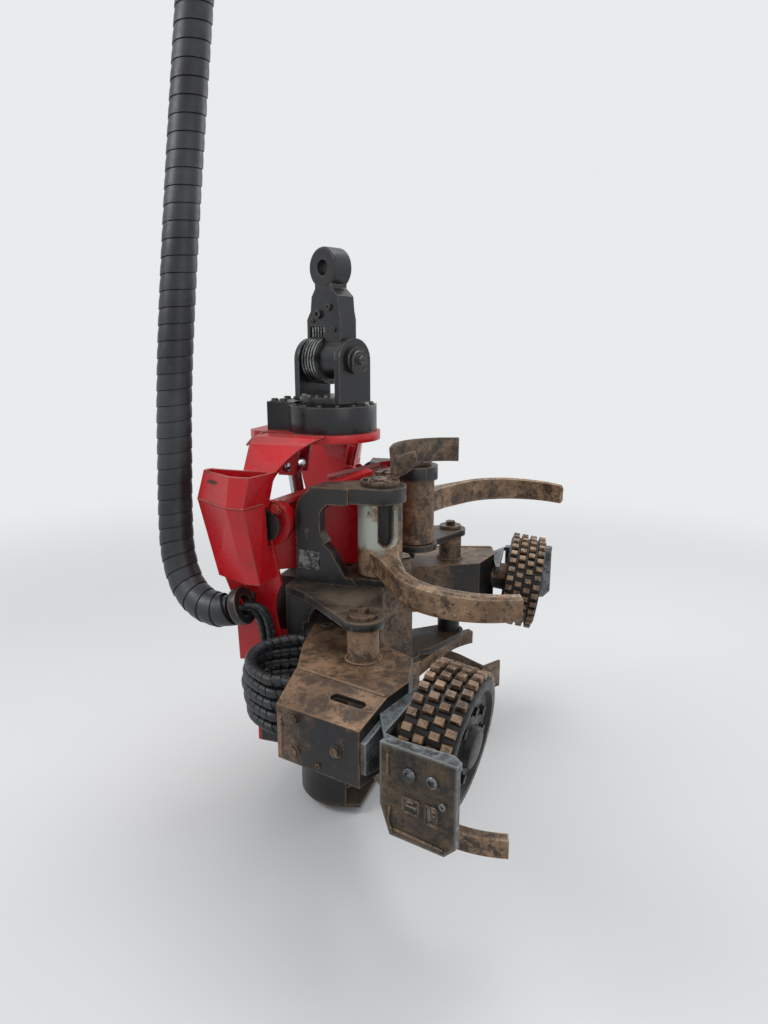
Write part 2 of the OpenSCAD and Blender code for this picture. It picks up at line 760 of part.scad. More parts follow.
module roller_guard_near() { roller_guard(-1); }
module roller_guard_far() { roller_guard(1); }

// Feed roller: rows of blunt teeth round a drum, each row set half a tooth on.
row_w = 26;
row_pitch = (roller_w - row_w - 24) / (row_count - 1);

module tooth_row() {
    step = 360 / tooth_count;
    root = roller_r - tooth_h;
    linear_extrude(row_w) polygon([for (i = [0:tooth_count - 1], p = [[0, root], [0.14, roller_r],
        [0.52, roller_r], [0.66, root]])
        p[1] * [cos(step * (i + p[0])), sin(step * (i + p[0]))]]);
}

module feed_roller(side) {
    color("#8a5a34") at_arm(side) at_axle() translate([-roller_w / 2, 0, 0])
        rotate([0, 90, 0]) difference() {
            union() {
                cylinder(h = roller_w, r = roller_r - tooth_h - 14);
                for (i = [0:row_count - 1]) translate([0, 0, i * row_pitch])
                    rotate([0, 0, 180 / tooth_count * (i % 2)]) tooth_row();
                translate([0, 0, roller_w - 12]) cylinder(h = 12, r = roller_r - 4);
            }
            translate([0, 0, roller_w - 30]) cylinder(h = 60, r = 120);
            translate([0, 0, -1]) cylinder(h = 70, r = 110);
            cylinder(h = roller_w, r = axle_r + pin_gap);
        }
}

module feed_roller_near() { feed_roller(-1); }
module feed_roller_far() { feed_roller(1); }

// A round hose swept along its route, in millimetres, with a set number of sides.
function unit(v) = v / norm(v);
function along(r, i) = unit(r[min(i + 1, len(r) - 1)] - r[max(i - 1, 0)]);
function across(r, i) = unit(cross(along(r, i), [0.13, 0.31, 0.94]));
function ring(r, i, d, sides) = [for (k = [0:sides - 1]) let (u = across(r, i), w = cross(along(r, i), u),
    a = 360 * k / sides) r[i] + d / 2 * (cos(a) * u + sin(a) * w)];
function smooth(r, n) = [for (i = [0:len(r) - 2], k = [0:n - 1]) let (t = k / n,
    a = r[max(i - 1, 0)], b = r[i], c = r[i + 1], d = r[min(i + 2, len(r) - 1)])
    0.5 * (2 * b + (c - a) * t + (2 * a - 5 * b + 4 * c - d) * t * t
        + (3 * b - a - 3 * c + d) * t * t * t)];
function closed_route(r, n) = concat(smooth(r, n), [r[len(r) - 1]]);

module hose(route, d, sides, n) {
    r = closed_route(route, n);
    m = len(r);
    points = [for (i = [0:m - 1]) each ring(r, i, d, sides)];
    walls = [for (i = [0:m - 2], k = [0:sides - 1]) each [
        [i * sides + k, i * sides + (k + 1) % sides, (i + 1) * sides + k],
        [i * sides + (k + 1) % sides, (i + 1) * sides + (k + 1) % sides, (i + 1) * sides + k]]];
    first = [for (k = [sides - 1:-1:0]) k];
    last = [for (k = [0:sides - 1]) (m - 1) * sides + k];
    polyhedron(points, concat(walls, [first, last]));
}

// Feed arm hoses: loops behind each arm from its tail to its motor side.
arm_hose_rows = [[622, 0], [658, 12], [694, 20], [730, 12], [766, 0]]; // height, extra bow

module arm_hoses(side) {
    color(black) at_arm(side) for (h = arm_hose_rows)
        hose([[-253.6, 72.8, h[0]], [-273.8, 62.6, h[0]], [-294, 52.4, h[0]],
            [-338 - h[1], -20, h[0]], [-330 - h[1], -110, h[0]], [-262 - h[1] / 2, -182, h[0]],
            [-175, -210.4, h[0]], [-141, -200, h[0]], [-107.1, -189.6, h[0]]], arm_hose_d, 8, 2);
}

module arm_hoses_near() { arm_hoses(-1); }
module arm_hoses_far() { arm_hoses(1); }

// Lower knife: a curved blade on a short pin under the feed arm; the far one is shorter.
low_x = 205;
low_y = 235;
low_pin_r = 26;
low_hub_r = 50;
low_bend_r = 330;
low_gap = 10;
far_knife_z = low_knife_z + low_knife_h + low_gap;

module lower_knife(side, z, shank, heading, bend) {
    half = blade_t / 2;
    color(rust) hung() sided(side) translate([low_x, -low_y, 0]) difference() {
        union() {
            translate([0, 0, frame_low + pin_gap])
                cylinder(h = low_ear_z - frame_low - 2 * pin_gap, r = low_hub_r);
            rotate([0, 0, heading]) {
                slab_z(z, z + low_knife_h) polygon([[0, -low_hub_r + 4], [shank, -half],
                    [shank, half], [0, low_hub_r - 4]]);
                translate([shank, low_bend_r, z]) rotate([0, 0, -90]) rotate_extrude(angle = bend)
                    polygon([[low_bend_r - half, 0], [low_bend_r + half, 0],
                        [low_bend_r + half, low_knife_h], [low_bend_r - half, low_knife_h]]);
            }
        }
        translate([0, 0, z - 200]) cylinder(h = 600, r = low_pin_r + pin_gap);
    }
}

module lower_knife_near() { lower_knife(-1, low_knife_z, 330, -52, 66); }
module lower_knife_far() { lower_knife(1, far_knife_z, 300, -72, 26); }

// Saw box: a flat housing under the frame, open to the front where the bar swings out.
bar_x = 60;
bar_y0 = -120;
bar_z = 92;
bar_rest = 98;

module saw_plan(inset) {
    translate([-40, -40]) circle(230 - inset);
    polygon([[-224 + inset, -190], [-224 + inset, 190], [-150 + inset, 560 - inset],
        [40 - inset, 560 - inset], [150, 190], [150, -230 + inset], [-40, -270 + inset]]);
}

module saw_box() {
    top = 30 + saw_h;
    shelf = 150;
    color(black) hung() {
        difference() {
            slab_z(30, top) saw_plan(0);
            slab_z(30 + saw_wall, shelf - saw_wall) saw_plan(saw_wall);
            intersection() {
                slab_z(shelf - saw_wall, top - saw_wall) saw_plan(saw_wall);
                translate([-300, -300, 0]) cube([600, 500 - saw_wall, 400]);
            }
            translate([120, -400, 30 + saw_wall]) cube([200, 800, saw_h - 2 * saw_wall]);
            translate([30, 150, 30 + saw_wall]) cube([200, 398, 60]);
            translate([-300, 200, shelf]) cube([500, 500, 200]);
        }
        for (s = [-1, 1]) sided(s) {
            translate([low_x, -low_y, top]) cylinder(h = low_ear_z + mid_t - top, r = low_pin_r);
            slab_z(top - 1, frame_low) polygon([[-150, 1], [150, 1], [150, -120],
                [low_x + 44, -low_y + 24], [low_x + 36, -low_y - 36], [low_x, -low_y - 50],
                [low_x - 50, -low_y - 20], [-150, -180]]);
        }
        slab_z(top - 1, frame_low) polygon([[150, 230], [230, 250], [440, 470], [330, 570], [130, 400]]);
    }
}

// Saw bar guard: a folded open channel beyond the far lower knife.
module bar_guard() {
    color(rust) hung() {
        slab_z(frame_low, frame_low + 12) polygon([[257, 572], [353, 524], [472, 444], [524, 525],
            [400, 620], [290, 640]]);
        slab_z(frame_low, 366) strip([[257, 572], [353, 524], [472, 444], [524, 525]], 10);
    }
}

// Saw motor in the box, with its shaft down to the floor.
module saw_motor() {
    color("#50545a") hung() {
        translate([-110, -60, 30 + saw_wall + pin_gap]) cylinder(h = saw_h - 2 * saw_wall - 2 * pin_gap,
            r = 60);
        translate([bar_x, bar_y0, 30 + saw_wall + pin_gap])
            cylinder(h = saw_h - 2 * saw_wall - 2 * pin_gap, r = 17);
    }
}

// Saw bar with its chain, folded back into the box.
module saw_bar() {
    color(steel) hung() translate([bar_x, bar_y0, bar_z - 5]) rotate([0, 0, bar_rest]) difference() {
        slab_z(0, 10) lobe([0, 0], [bar_len - bar_w / 2, 0], bar_w / 2);
        translate([0, 0, -1]) cylinder(h = 20, r = 17 + pin_gap);
    }
}

// Measuring wheel: a disc that the tree turns through the slot in the trough.
module measuring_wheel() {
    color(steel) hung() translate([wheel_x, -10, wheel_z]) rotate([-90, 0, 0]) difference() {
        cylinder(h = 20, r = wheel_r);
        translate([0, 0, -1]) cylinder(h = 30, r = 13 + pin_gap);
    }
}

// Wrapped hose bundle: from its clamp under the near guard up past the link.
bundle_route = [[-150, -440, 866], [-177.5, -440, 857], [-205, -440, 848], [-280, -430, 858], [-350, -408, 906],
    [-395, -384, 1000], [-412, -362, 1120], [-410, -350, 1300], [-402, -342, 1500],
    [-388, -332, 1700], [-368, -314, 1950], [-348, -292, 2200], [-326, -270, 2450], [-302, -250, 2700]];

module hose_clamp() {
    color(black) hung() {
        translate(bundle_route[0]) rotate([0, 71.9, 0]) translate([0, 0, pin_gap]) difference() {
            cylinder(h = 26, r = bundle_d / 2 + 4);
            translate([0, 0, -1]) cylinder(h = 40, r = 34);
        }
        translate([-146, -side_y - plate_t - 14, 836]) cube([22, 14 - pin_gap, 60]);
    }
}

module hose_bundle() {
    color(black) hung() hose(bundle_route, bundle_d, 12, 3);
}

// Hose ends: the couplings on top of the bundle.
module hose_ends() {
    color(steel) hung() translate([-302, -250, 2700]) rotate([-4.6, 5.5, 0]) for (a = [0:72:288])
        translate([32 * cos(a), 32 * sin(a), pin_gap]) cylinder(h = 46, r = 15);
}

link();
brake_discs();
rotator_bracket();
swing_pin();
rotator_housing();
tilt_yoke();
tilt_barrel();
tilt_rod();
head_frame();
side_plate_near();
side_plate_far();
pivot_pins();
pivot_guard_near();
pivot_guard_far();
lower_frame();
rear_cover();
log_trough();
valve_block();
knife_housing_near();
knife_housing_far();
knife_pins();
fixed_knife();
arm_bracket_near();
arm_bracket_far();
arm_pins();
upper_knife_near();
upper_knife_far();
feed_arm_near();
feed_arm_far();
roller_guard_near();
roller_guard_far();
feed_roller_near();
feed_roller_far();
arm_hoses_near();
arm_hoses_far();
lower_knife_near();
lower_knife_far();
saw_box();
bar_guard();
saw_motor();
saw_bar();
measuring_wheel();
hose_clamp();
hose_bundle();
hose_ends();
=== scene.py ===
"""Looks of a forestry harvester head with its rotator and swing link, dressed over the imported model.
The frame is the model's: metres, the origin on the swing link's upper bore, +Z up. Outlines, routes
and levels are in millimetres where the function that places them says so."""
import math
from functools import partial

import bmesh
import bpy
import numpy as np
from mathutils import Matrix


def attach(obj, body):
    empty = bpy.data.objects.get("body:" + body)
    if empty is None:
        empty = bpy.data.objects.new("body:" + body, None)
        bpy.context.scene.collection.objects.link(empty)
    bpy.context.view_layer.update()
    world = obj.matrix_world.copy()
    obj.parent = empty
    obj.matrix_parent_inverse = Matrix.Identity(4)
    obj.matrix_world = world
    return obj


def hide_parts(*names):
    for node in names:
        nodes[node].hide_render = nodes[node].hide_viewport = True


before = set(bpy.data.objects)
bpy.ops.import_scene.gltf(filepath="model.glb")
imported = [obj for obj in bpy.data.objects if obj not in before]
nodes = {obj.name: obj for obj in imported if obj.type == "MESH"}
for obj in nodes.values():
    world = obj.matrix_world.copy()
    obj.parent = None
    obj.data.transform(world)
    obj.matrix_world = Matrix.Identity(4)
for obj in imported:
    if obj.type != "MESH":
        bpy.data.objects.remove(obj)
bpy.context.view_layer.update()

# Camera: the photograph's standing place, at a standing person's eye height above the ground.
# The head hangs a little to the left of the picture's middle.
FLOOR_Z = -1.914
EYE_HEIGHT = 1.70
camera = bpy.data.objects.new("camera", bpy.data.cameras.new("camera"))
camera.data.lens = 26.37
camera.data.sensor_width = 36.0
camera.location = (0.989, -2.412, FLOOR_Z + EYE_HEIGHT)
camera.rotation_euler = (math.radians(76.7), 0.0, math.radians(18.4))
bpy.context.scene.collection.objects.link(camera)
bpy.context.scene.camera = camera

# Wrapped hose bundle: five hydraulic hoses in a spiral strip of black polyethylene, 50 mm wide, that
# overlaps itself turn by turn. It leaves its clamp under the near guard and climbs past the link to
# its couplings, just above the picture.
BUNDLE_ROUTE = [(-150, -440, 866), (-177.5, -440, 857), (-205, -440, 848), (-280, -430, 858),
                (-350, -408, 906), (-395, -384, 1000), (-412, -362, 1120), (-410, -350, 1300),
                (-402, -342, 1500), (-388, -332, 1700), (-368, -314, 1950), (-348, -292, 2200),
                (-326, -270, 2450), (-302, -250, 2700)]
BUNDLE_D = 0.112
hoses = []


def floor_mm(*p):
    """A point x, y, z, or an array of points, in millimetres from the ground, in the model's frame."""
    return np.asarray(p if len(p) == 3 else p[0], float) / 1000 + [0, 0, FLOOR_Z]


def make_mesh(name, parts, smooth=True):
    """One object from several (vertices, faces) pairs, its place in its mesh. Points that meet are
    merged, which closes seams and poles, and every closed shell is turned to face outwards."""
    starts = np.cumsum([0] + [len(verts) for verts, _ in parts])
    faces = []
    for (_, part), start in zip(parts, starts.tolist()):
        rows = part.tolist() if isinstance(part, np.ndarray) else part
        faces += [[i + start for i in face] for face in rows]
    mesh = bpy.data.meshes.new(name)
    mesh.from_pydata(np.concatenate([verts for verts, _ in parts]).tolist(), [], faces)
    shell = bmesh.new()
    shell.from_mesh(mesh)
    bmesh.ops.remove_doubles(shell, verts=shell.verts, dist=0.000002)
    bmesh.ops.recalc_face_normals(shell, faces=shell.faces)
    shell.to_mesh(mesh)
    shell.free()
    mesh.polygons.foreach_set("use_smooth", np.full(len(mesh.polygons), smooth))
    mesh.update()
    mesh.set_sharp_from_angle(angle=math.radians(32))
    piece = bpy.data.objects.new(name, mesh)
    bpy.context.scene.collection.objects.link(piece)
    return piece


def grid_faces(rows, columns):
    """Quads of a grid whose columns close into a ring; row i, column k is vertex i * columns + k."""
    i, k = np.meshgrid(np.arange(rows - 1), np.arange(columns), indexing="ij")
    n = (k + 1) % columns
    return np.stack([i * columns + k, i * columns + n, (i + 1) * columns + n, (i + 1) * columns + k],
                    axis=-1).reshape(-1, 4)


def smooth_route(points, count):
    """Catmull-Rom curve through the points: a cubic whose slope at each is half the way between its
    neighbours, with that many steps from point to point."""
    p = np.asarray(points, float)
    a, b, c, d = (p[np.clip(np.arange(len(p) - 1) + o, 0, len(p) - 1)][:, None] for o in (-1, 0, 1, 2))
    t = (np.arange(count) / count)[None, :, None]
    curve = 0.5 * (2 * b + (c - a) * t + (2 * a - 5 * b + 4 * c - d) * t**2
                   + (3 * b - a - 3 * c + d) * t**3)
    return np.concatenate([curve.reshape(-1, 3), p[-1:]])


def route_frames(path, s):
    """Points of the path at lengths s, with two unit vectors across it there."""
    at = np.concatenate([[0], np.cumsum(np.linalg.norm(np.diff(path, axis=0), axis=1))])
    tangents = np.gradient(path, at, axis=0)
    point, tangent = (np.stack([np.interp(s, at, values[:, i]) for i in range(3)], axis=-1)
                      for values in (path, tangents))
    tangent /= np.linalg.norm(tangent, axis=-1, keepdims=True)
    u = np.cross(tangent, [0.13, 0.31, 0.94])
    u /= np.linalg.norm(u, axis=-1, keepdims=True)
    return point, u, np.cross(tangent, u)


def tube(point, u, w, radius, sides):
    """A tube: at step s and angle a, point(s) + radius(s) * (cos a * u(s) + sin a * w(s))."""
    a = (2 * np.pi * np.arange(sides) / sides)[None, :, None]
    verts = point[:, None] + radius[:, None, None] * (np.cos(a) * u[:, None] + np.sin(a) * w[:, None])
    return verts.reshape(-1, 3), grid_faces(len(point), sides)


# The core tube's sides, its rings in a radius of length and how many strip depths it lies under the
# wrap; and how many turns short the strip stops, so that its last width stays on the path.
CORE_SIDES, CORE_RINGS, CORE_UNDER, TURNS_SHORT = 24, 3, 1.5, 1.06


def wrapped_hose(path, radius, pitch, sides, depth, cover):
    """A closed core tube, and a strip wound round it that covers that share of each turn. The strip's
    point at winding angle a and width u lies at length pitch * (a / 2 pi + u), and its closed section
    rises by depth, a share of the radius, over the turn before."""
    length = np.linalg.norm(np.diff(path, axis=0), axis=1).sum()
    s = np.linspace(0, length, int(length / radius * CORE_RINGS) + 2)
    core = np.full(len(s), radius * (1 - CORE_UNDER * depth))
    core[[0, -1]] = 0
    turns = length / pitch - TURNS_SHORT
    a = np.linspace(0, 2 * np.pi * turns, int(turns * sides))[:, None]
    width = cover * np.array([0.0, 0.03, 0.5, 0.95, 1.0, 1.0, 0.0])[None]
    dip = depth * np.array([1.0, 0.1, 0.15, 0.55, 1.0, 2.0, 2.0])[None]
    point, u, w = route_frames(path, pitch * (a / (2 * np.pi) + width))
    out = np.cos(a)[..., None] * u + np.sin(a)[..., None] * w
    strip = point + out * (radius * (1 - dip))[..., None]
    strip[[0, -1]] = strip[[0, -1]].mean(axis=1, keepdims=True)
    core_tube = tube(*route_frames(path, s), core, CORE_SIDES)
    return [core_tube, (strip.reshape(-1, 3), grid_faces(len(a), width.size))], length


def lay_hose(name, path, body, diameter, winding, replaces=None, **cord):
    """Makes a wrapped hose along the path and lets it ride."""
    parts, length = wrapped_hose(path, diameter / 2, **winding)
    piece = make_mesh(name, parts)
    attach(piece, body)
    if replaces:
        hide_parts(replaces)
    hoses.append(piece)


lay_hose("hose_bundle_wrap", smooth_route(floor_mm(BUNDLE_ROUTE), 12), "head", BUNDLE_D,
         {"pitch": 0.050, "sides": 44, "depth": 0.11, "cover": 1.04}, "hose_bundle",
         far_end="fitting", stiffness="stiff", lay="hanging", with_pieces=[nodes["hose_ends"]])

# Feed arm hoses: five rubber hoses on each arm, wrapped in narrow spiral strip, that loop from the
# arm's tail to its motor side. Each is 34 mm over its wrap. The far arm mirrors the near one.
SIDES = ((1, "near"), (-1, "far"))
ARM_PIN = (0.300, -0.530)
ARM_OPEN = math.radians(-15)
ARM_HOSE_D = 0.034
ARM_HOSE_ROWS = [(622, 0), (658, 12), (694, 20), (730, 12), (766, 0)]


def at_arm(points, side):
    """Points in the arm's frame, in millimetres from its pin and the ground, in the model's frame."""
    p = np.asarray(points, float) / 1000
    c, s = math.cos(ARM_OPEN), math.sin(ARM_OPEN)
    x = ARM_PIN[0] + p[..., 0] * c - p[..., 1] * s
    y = ARM_PIN[1] + p[..., 0] * s + p[..., 1] * c
    return np.stack([x, side * y, p[..., 2] + FLOOR_Z], axis=-1)


for side, name in SIDES:
    for i, (z, bow) in enumerate(ARM_HOSE_ROWS):
        route = [(-253.6, 72.8, z), (-273.8, 62.6, z), (-294, 52.4, z), (-338 - bow, -20, z),
                 (-330 - bow, -110, z), (-262 - bow / 2, -182, z), (-175, -210.4, z), (-141, -200, z),
                 (-107.1, -189.6, z)]
        lay_hose("arm_hose_%s_%d" % (name, i + 1), at_arm(smooth_route(route, 8), side),
                 "feed_arm_" + name, ARM_HOSE_D,
                 {"pitch": 0.029, "sides": 20, "depth": 0.20, "cover": 0.86}, "arm_hoses_" + name,
                 far_end="object", stiffness="medium", lay="loose")

# Frame hoses: three thin rubber hoses in the same strip, 24 mm over it, leave the bundle's clamp,
# bend down past the near side plate and end in the arm bracket's web.
FRAME_HOSE_D = 0.024
FRAME_HOSE_ROUTE = [(-126, -436, 873), (-106, -430, 876), (-84, -421, 868), (-66, -411, 842),
                    (-58, -403, 804), (-56, -398, 764), (-57, -395, 724), (-56, -391, 686),
                    (-50, -383, 654), (-38, -370, 630), (-22, -354, 614), (-8, -342, 606)]
for i, (dx, dy, dz) in enumerate([(0, -13, 3), (-8, 12, -7), (-30, -2, -16)]):
    route = np.array(FRAME_HOSE_ROUTE, float) + [dx, dy, 0]
    route[:, 2] += dz * np.linspace(1, 0.3, len(route))
    lay_hose("frame_hose_%d" % (i + 1), smooth_route(floor_mm(route), 6), "head", FRAME_HOSE_D,
             {"pitch": 0.024, "sides": 16, "depth": 0.16, "cover": 1.02},
             far_end="object", stiffness="medium", lay="hanging")

# Spiral wrap of all the hoses: black polyethylene strip, extruded, satin. It has a grey bloom where it
# looks up, partly dust and partly a painted highlight, fine scuffs all round, and the gaps between its
# turns stay black.

# Where a kind of node keeps its mode, and short names of the kinds that recur; STEP is a smooth run
# from one value to another.
MODE = {"Math": "operation", "VectorMath": "operation", "Mix": "data_type", "MapRange": "interpolation_type"}
STEP, BLEND, TIMES, PLUS = "MapRange.SMOOTHSTEP", "Mix.RGBA", "Math.MULTIPLY", "Math.ADD"
NOISE, SPLIT, DOT = "TexNoise", "SeparateXYZ", "VectorMath.DOT_PRODUCT"


def linear(hex_colour):
    """Linear RGBA of an sRGB hex colour."""
    c = np.array([int(hex_colour[i:i + 2], 16) / 255 for i in (1, 3, 5)])
    return tuple(np.where(c <= 0.04045, c / 12.92, ((c + 0.055) / 1.055)**2.4)) + (1.0,)


def add_node(tree, kind, *inputs, **named):
    """Adds one shader node, of a kind or of "kind.mode". Inputs come in the order of its sockets, or
    by their names with _ for a space; each is a value, a hex colour or the output linked to it. Names
    in small letters are the node's own settings. Returns its first output."""
    kind, _, mode = kind.partition(".")
    node = tree.nodes.new("ShaderNode" + kind)
    if mode:
        setattr(node, MODE[kind], mode)
    links = list(zip([socket for socket in node.inputs if socket.enabled], inputs))
    for key, value in named.items():
        if key.islower():
            setattr(node, key, value)
        else:
            links.append((node.inputs[key.replace("_", " ")], value))
    for socket, value in links:
        if isinstance(value, bpy.types.NodeSocket):
            tree.links.new(value, socket)
        else:
            socket.default_value = linear(value) if isinstance(value, str) else value
    return next((output for output in node.outputs if output.enabled), node)


def start_material(name):
    """A new empty material, the function that adds a node to it, and the coordinates that its
    patterns follow."""
    material = bpy.data.materials.new(name)
    material.use_nodes = True
    material.node_tree.nodes.clear()
    add = partial(add_node, material.node_tree)
    return material, add, add("TexCoord").node.outputs


def spots(size_mm):
    """Scale of a noise whose spots are about that size."""
    return 500.0 / size_mm


def surface(add, colour, roughness, metallic, height, depth_mm):
    """The shader, its bump of that depth and the output."""
    bump = add("Bump", Height=height, Strength=0.9, Distance=depth_mm / 1000)
    add("OutputMaterial", add("BsdfPrincipled", Base_Color=colour, Roughness=roughness,
                              Metallic=metallic, Normal=bump))


wrap, add, out = start_material("polyethylene_spiral_wrap")
dust = add(NOISE, out["Object"], spots(120), 5.0, 0.6)
scuffs = add(NOISE, out["Object"], spots(9), 6.0, 0.75)
up = add(SPLIT, out["Normal"]).node.outputs["Z"]
# Grey bloom on faces that look up: partly dust, partly a painted highlight.
dust_and_highlight_bloom = add(TIMES, add(STEP, dust, 0.42, 0.68), add(STEP, up, -0.6, 0.9, 0.245, 0.7))
colour = add(BLEND, dust_and_highlight_bloom, "#121316", "#3C4046")
colour = add(BLEND, add(STEP, scuffs, 0.60, 0.72, 0.0, 0.45), colour, "#646A70")
surface(add, colour, add(STEP, scuffs, 0.3, 0.8, 0.36, 0.58), 0.0, scuffs, 0.3)
for hose in hoses:
    hose.data.materials.append(wrap)

# Swing link: a steel casting between the crane's pin and the rotator's swing pin. A neck carries the
# upper eye, a wide boss and an ear take the swing pin. Black chassis paint, greasy round the bores.
SWING_YAW = math.radians(-25)
SWING_Z = 1617
EYE_RISE = 0.297
PIN_BORE_R = 25.3
NECK_HALF = 36
NECK = [(-40, 252), (40, 252), (40, 232), (72, 206), (76, 160), (83, 132), (83, 40), (4, 40), (4, 110),
        (-69, 110), (-69, 40), (-83, 40), (-83, 132), (-64, 160), (-58, 206), (-40, 232)]
LINK_SCREWS = [(-0.022, 0.150, 0.030), (0.030, 0.172, 0.022), (-0.052, 0.128, 0.014),
               (0.052, 0.100, 0.016)]
# Across a part whose rows are in millimetres; rows of a hexagon bolt on its washer and of a socket
# screw.
ROWS_IN_MM = 0.002
HEX_BOLT = [(-0.1, 0, 0), (-0.1, 1.35, 0), (0.16, 1.4, 0), (0.2, 1.34, 0), (0.2, 0.99, 1),
            (0.78, 1.0, 1), (0.9, 0.93, 0.4), (0.92, 0.55, 0), (0.88, 0.5, 0), (0.88, 0, 0)]
SOCKET_SCREW = [(-0.1, 0, 0), (-0.1, 1.0, 0), (0.62, 1.0, 0), (0.72, 0.9, 0), (0.72, 0.5, 0),
                (0.72, 0.46, 1), (0.3, 0.46, 1), (0.3, 0, 0)]
swing_axis = np.array([math.cos(SWING_YAW), math.sin(SWING_YAW), 0.0])
swing_side = np.array([-math.sin(SWING_YAW), math.cos(SWING_YAW), 0.0])
swing_centre = floor_mm(0, 0, SWING_Z)


def edge_wear(add, radius_mm):
    """0 on flat faces and up to 1 on edges: how far a bevelled normal turns from the true one."""
    rounded_normal = add("Bevel", radius_mm / 1000, samples=4)
    true_normal = add("NewGeometry").node.outputs["Normal"]
    turn = add(DOT, rounded_normal, true_normal)
    return add(STEP, turn, 0.995, 0.86)


def paint_film(add, out, paint, shade, bare, dirt, dust, gloss, chips, soil, dusty, edge_mm):
    """Paint on steel plate: tone clouds, dirt in patches and downward runs, dust on faces that look up,
    chips of 3 to 8 mm, and bare steel along the edges. Returns colour, roughness, bareness and height."""
    where = out["Object"]
    up = add(SPLIT, out["Normal"]).node.outputs["Z"]
    clouds = add(NOISE, where, spots(240), 3.0, 0.6)
    patches = add(NOISE, where, spots(85), 8.0, 0.68, Distortion=0.4)
    flecks = add(NOISE, where, spots(7), 6.0, 0.7)
    runs = add(NOISE, add("Mapping", where, Scale=(1.0, 1.0, 0.12)), spots(24), 5.0, 0.6)
    colour = add(BLEND, add(STEP, clouds, 0.35, 0.66), paint, shade)
    grime = add(PLUS,
                add(STEP, patches, 0.68 - 0.22 * soil, 0.84 - 0.2 * soil, 0.0, 0.8),
                add(STEP, runs, 0.60 - 0.12 * soil, 0.80 - 0.1 * soil, 0.0, 0.5),
                use_clamp=True)
    grime = add(TIMES, grime, add(STEP, up, -0.4, 0.9, 0.8, 1.0))
    colour = add(BLEND, grime, colour, dirt)
    settled = add(TIMES, add(STEP, up, 0.55, 0.95, 0.0, dusty), add(STEP, patches, 0.34, 0.62))
    settled = add(PLUS, settled, add(STEP, flecks, 0.58, 0.72, 0.0, dusty / 2), use_clamp=True)
    colour = add(BLEND, settled, colour, dust)
    rubbed = add(TIMES, edge_wear(add, edge_mm), add(STEP, flecks, 0.34, 0.54))
    chipped = add(STEP, flecks, 0.79 - 0.10 * chips, 0.81 - 0.10 * chips)
    worn = add(TIMES, add(PLUS, rubbed, chipped, use_clamp=True),
               add(STEP, patches, 0.28, 0.48, 0.30, 1.0))
    colour = add(BLEND, add(TIMES, worn, min(1.0, 0.5 + chips)), colour, bare)
    soiled = add(TIMES, add(PLUS, grime, settled, use_clamp=True), 0.3)
    rough = add(PLUS, add(STEP, flecks, 0.3, 0.7, gloss, gloss + 0.14), soiled, use_clamp=True)
    height = add("Math.SUBTRACT", add(TIMES, flecks, 0.4), add(TIMES, worn, 0.5), use_clamp=True)
    return colour, rough, worn, height


def round_edges(piece, width_mm):
    """Small roundings on sharp edges."""
    rounding = piece.modifiers.new("rounding", "BEVEL")
    rounding.width = width_mm / 1000
    rounding.segments = 2
    rounding.limit_method = "ANGLE"
    rounding.angle_limit = math.radians(40)


def dress(material, *names, bevel_mm=2.0):
    """Gives CAD nodes their material, joins their loose triangles and rounds their sharp edges."""
    for name in names:
        for slot in nodes[name].material_slots:
            slot.material = material
        if bevel_mm:
            weld = nodes[name].modifiers.new("weld", "WELD")
            weld.merge_threshold = 0.00002
            round_edges(nodes[name], bevel_mm)


def add_piece(name, parts, body, material, replaces=None):
    """Makes a piece from its parts, dresses it and lets it ride."""
    piece = make_mesh(name, parts)
    piece.data.materials.append(material)
    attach(piece, body)
    if replaces:
        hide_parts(replaces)
    return piece


def turned_part(rows, centre, axis, across, sides=24):
    """A turned or hexagonal part on an axis. Row (height, radius, hex): the radius at angle a is
    radius * (1 + hex * (1 / cos(a folded into +-30 degrees) - 1)), all in units of across / 2."""
    axis = np.asarray(axis, float) / np.linalg.norm(axis)
    u = np.cross(axis, [0.31, 0.82, 0.47])
    u /= np.linalg.norm(u)
    a = 2 * np.pi * np.arange(sides) / sides
    corner = 1 / np.cos((a + np.pi / 6) % (np.pi / 3) - np.pi / 6) - 1
    z, r, hexed = (np.array(rows, float)[:, i, None] for i in range(3))
    radius = r * (1 + hexed * corner) * across / 2
    out = np.cos(a)[None, :, None] * u + np.sin(a)[None, :, None] * np.cross(axis, u)
    verts = np.asarray(centre) + radius[..., None] * out + (z * across / 2)[..., None] * axis
    return verts.reshape(-1, 3), grid_faces(len(rows), sides)


def sleeve(low, high, bore, radius, chamfer, centre, axis):
    """A turned sleeve round an axis, in millimetres: a chamfered profile that closes on its bore."""
    rows = [(low, bore), (low, radius - chamfer), (low + chamfer, radius), (high - chamfer, radius),
            (high, radius - chamfer), (high, bore), (low, bore)]
    return turned_part([(z, r, 0) for z, r in rows], centre, axis, ROWS_IN_MM, 64)


def prism(outline, low, high, to_model):
    """A plate of one outline: the outline at the low and at the high level, a wall and two caps."""
    p = np.asarray(outline, float)
    n = len(p)
    verts = np.concatenate([np.column_stack([p, np.full(n, level)]) for level in (low, high)])
    return to_model(verts), grid_faces(2, n).tolist() + [list(range(n)), list(range(n, 2 * n))]


def along_swing(points):
    """Points (along the swing axis, up, across it), in millimetres from the swing pin's middle."""
    p = np.asarray(points, float) / 1000
    return swing_centre + p[:, :1] * swing_axis + p[:, 1:2] * [0, 0, 1] + p[:, 2:] * swing_side


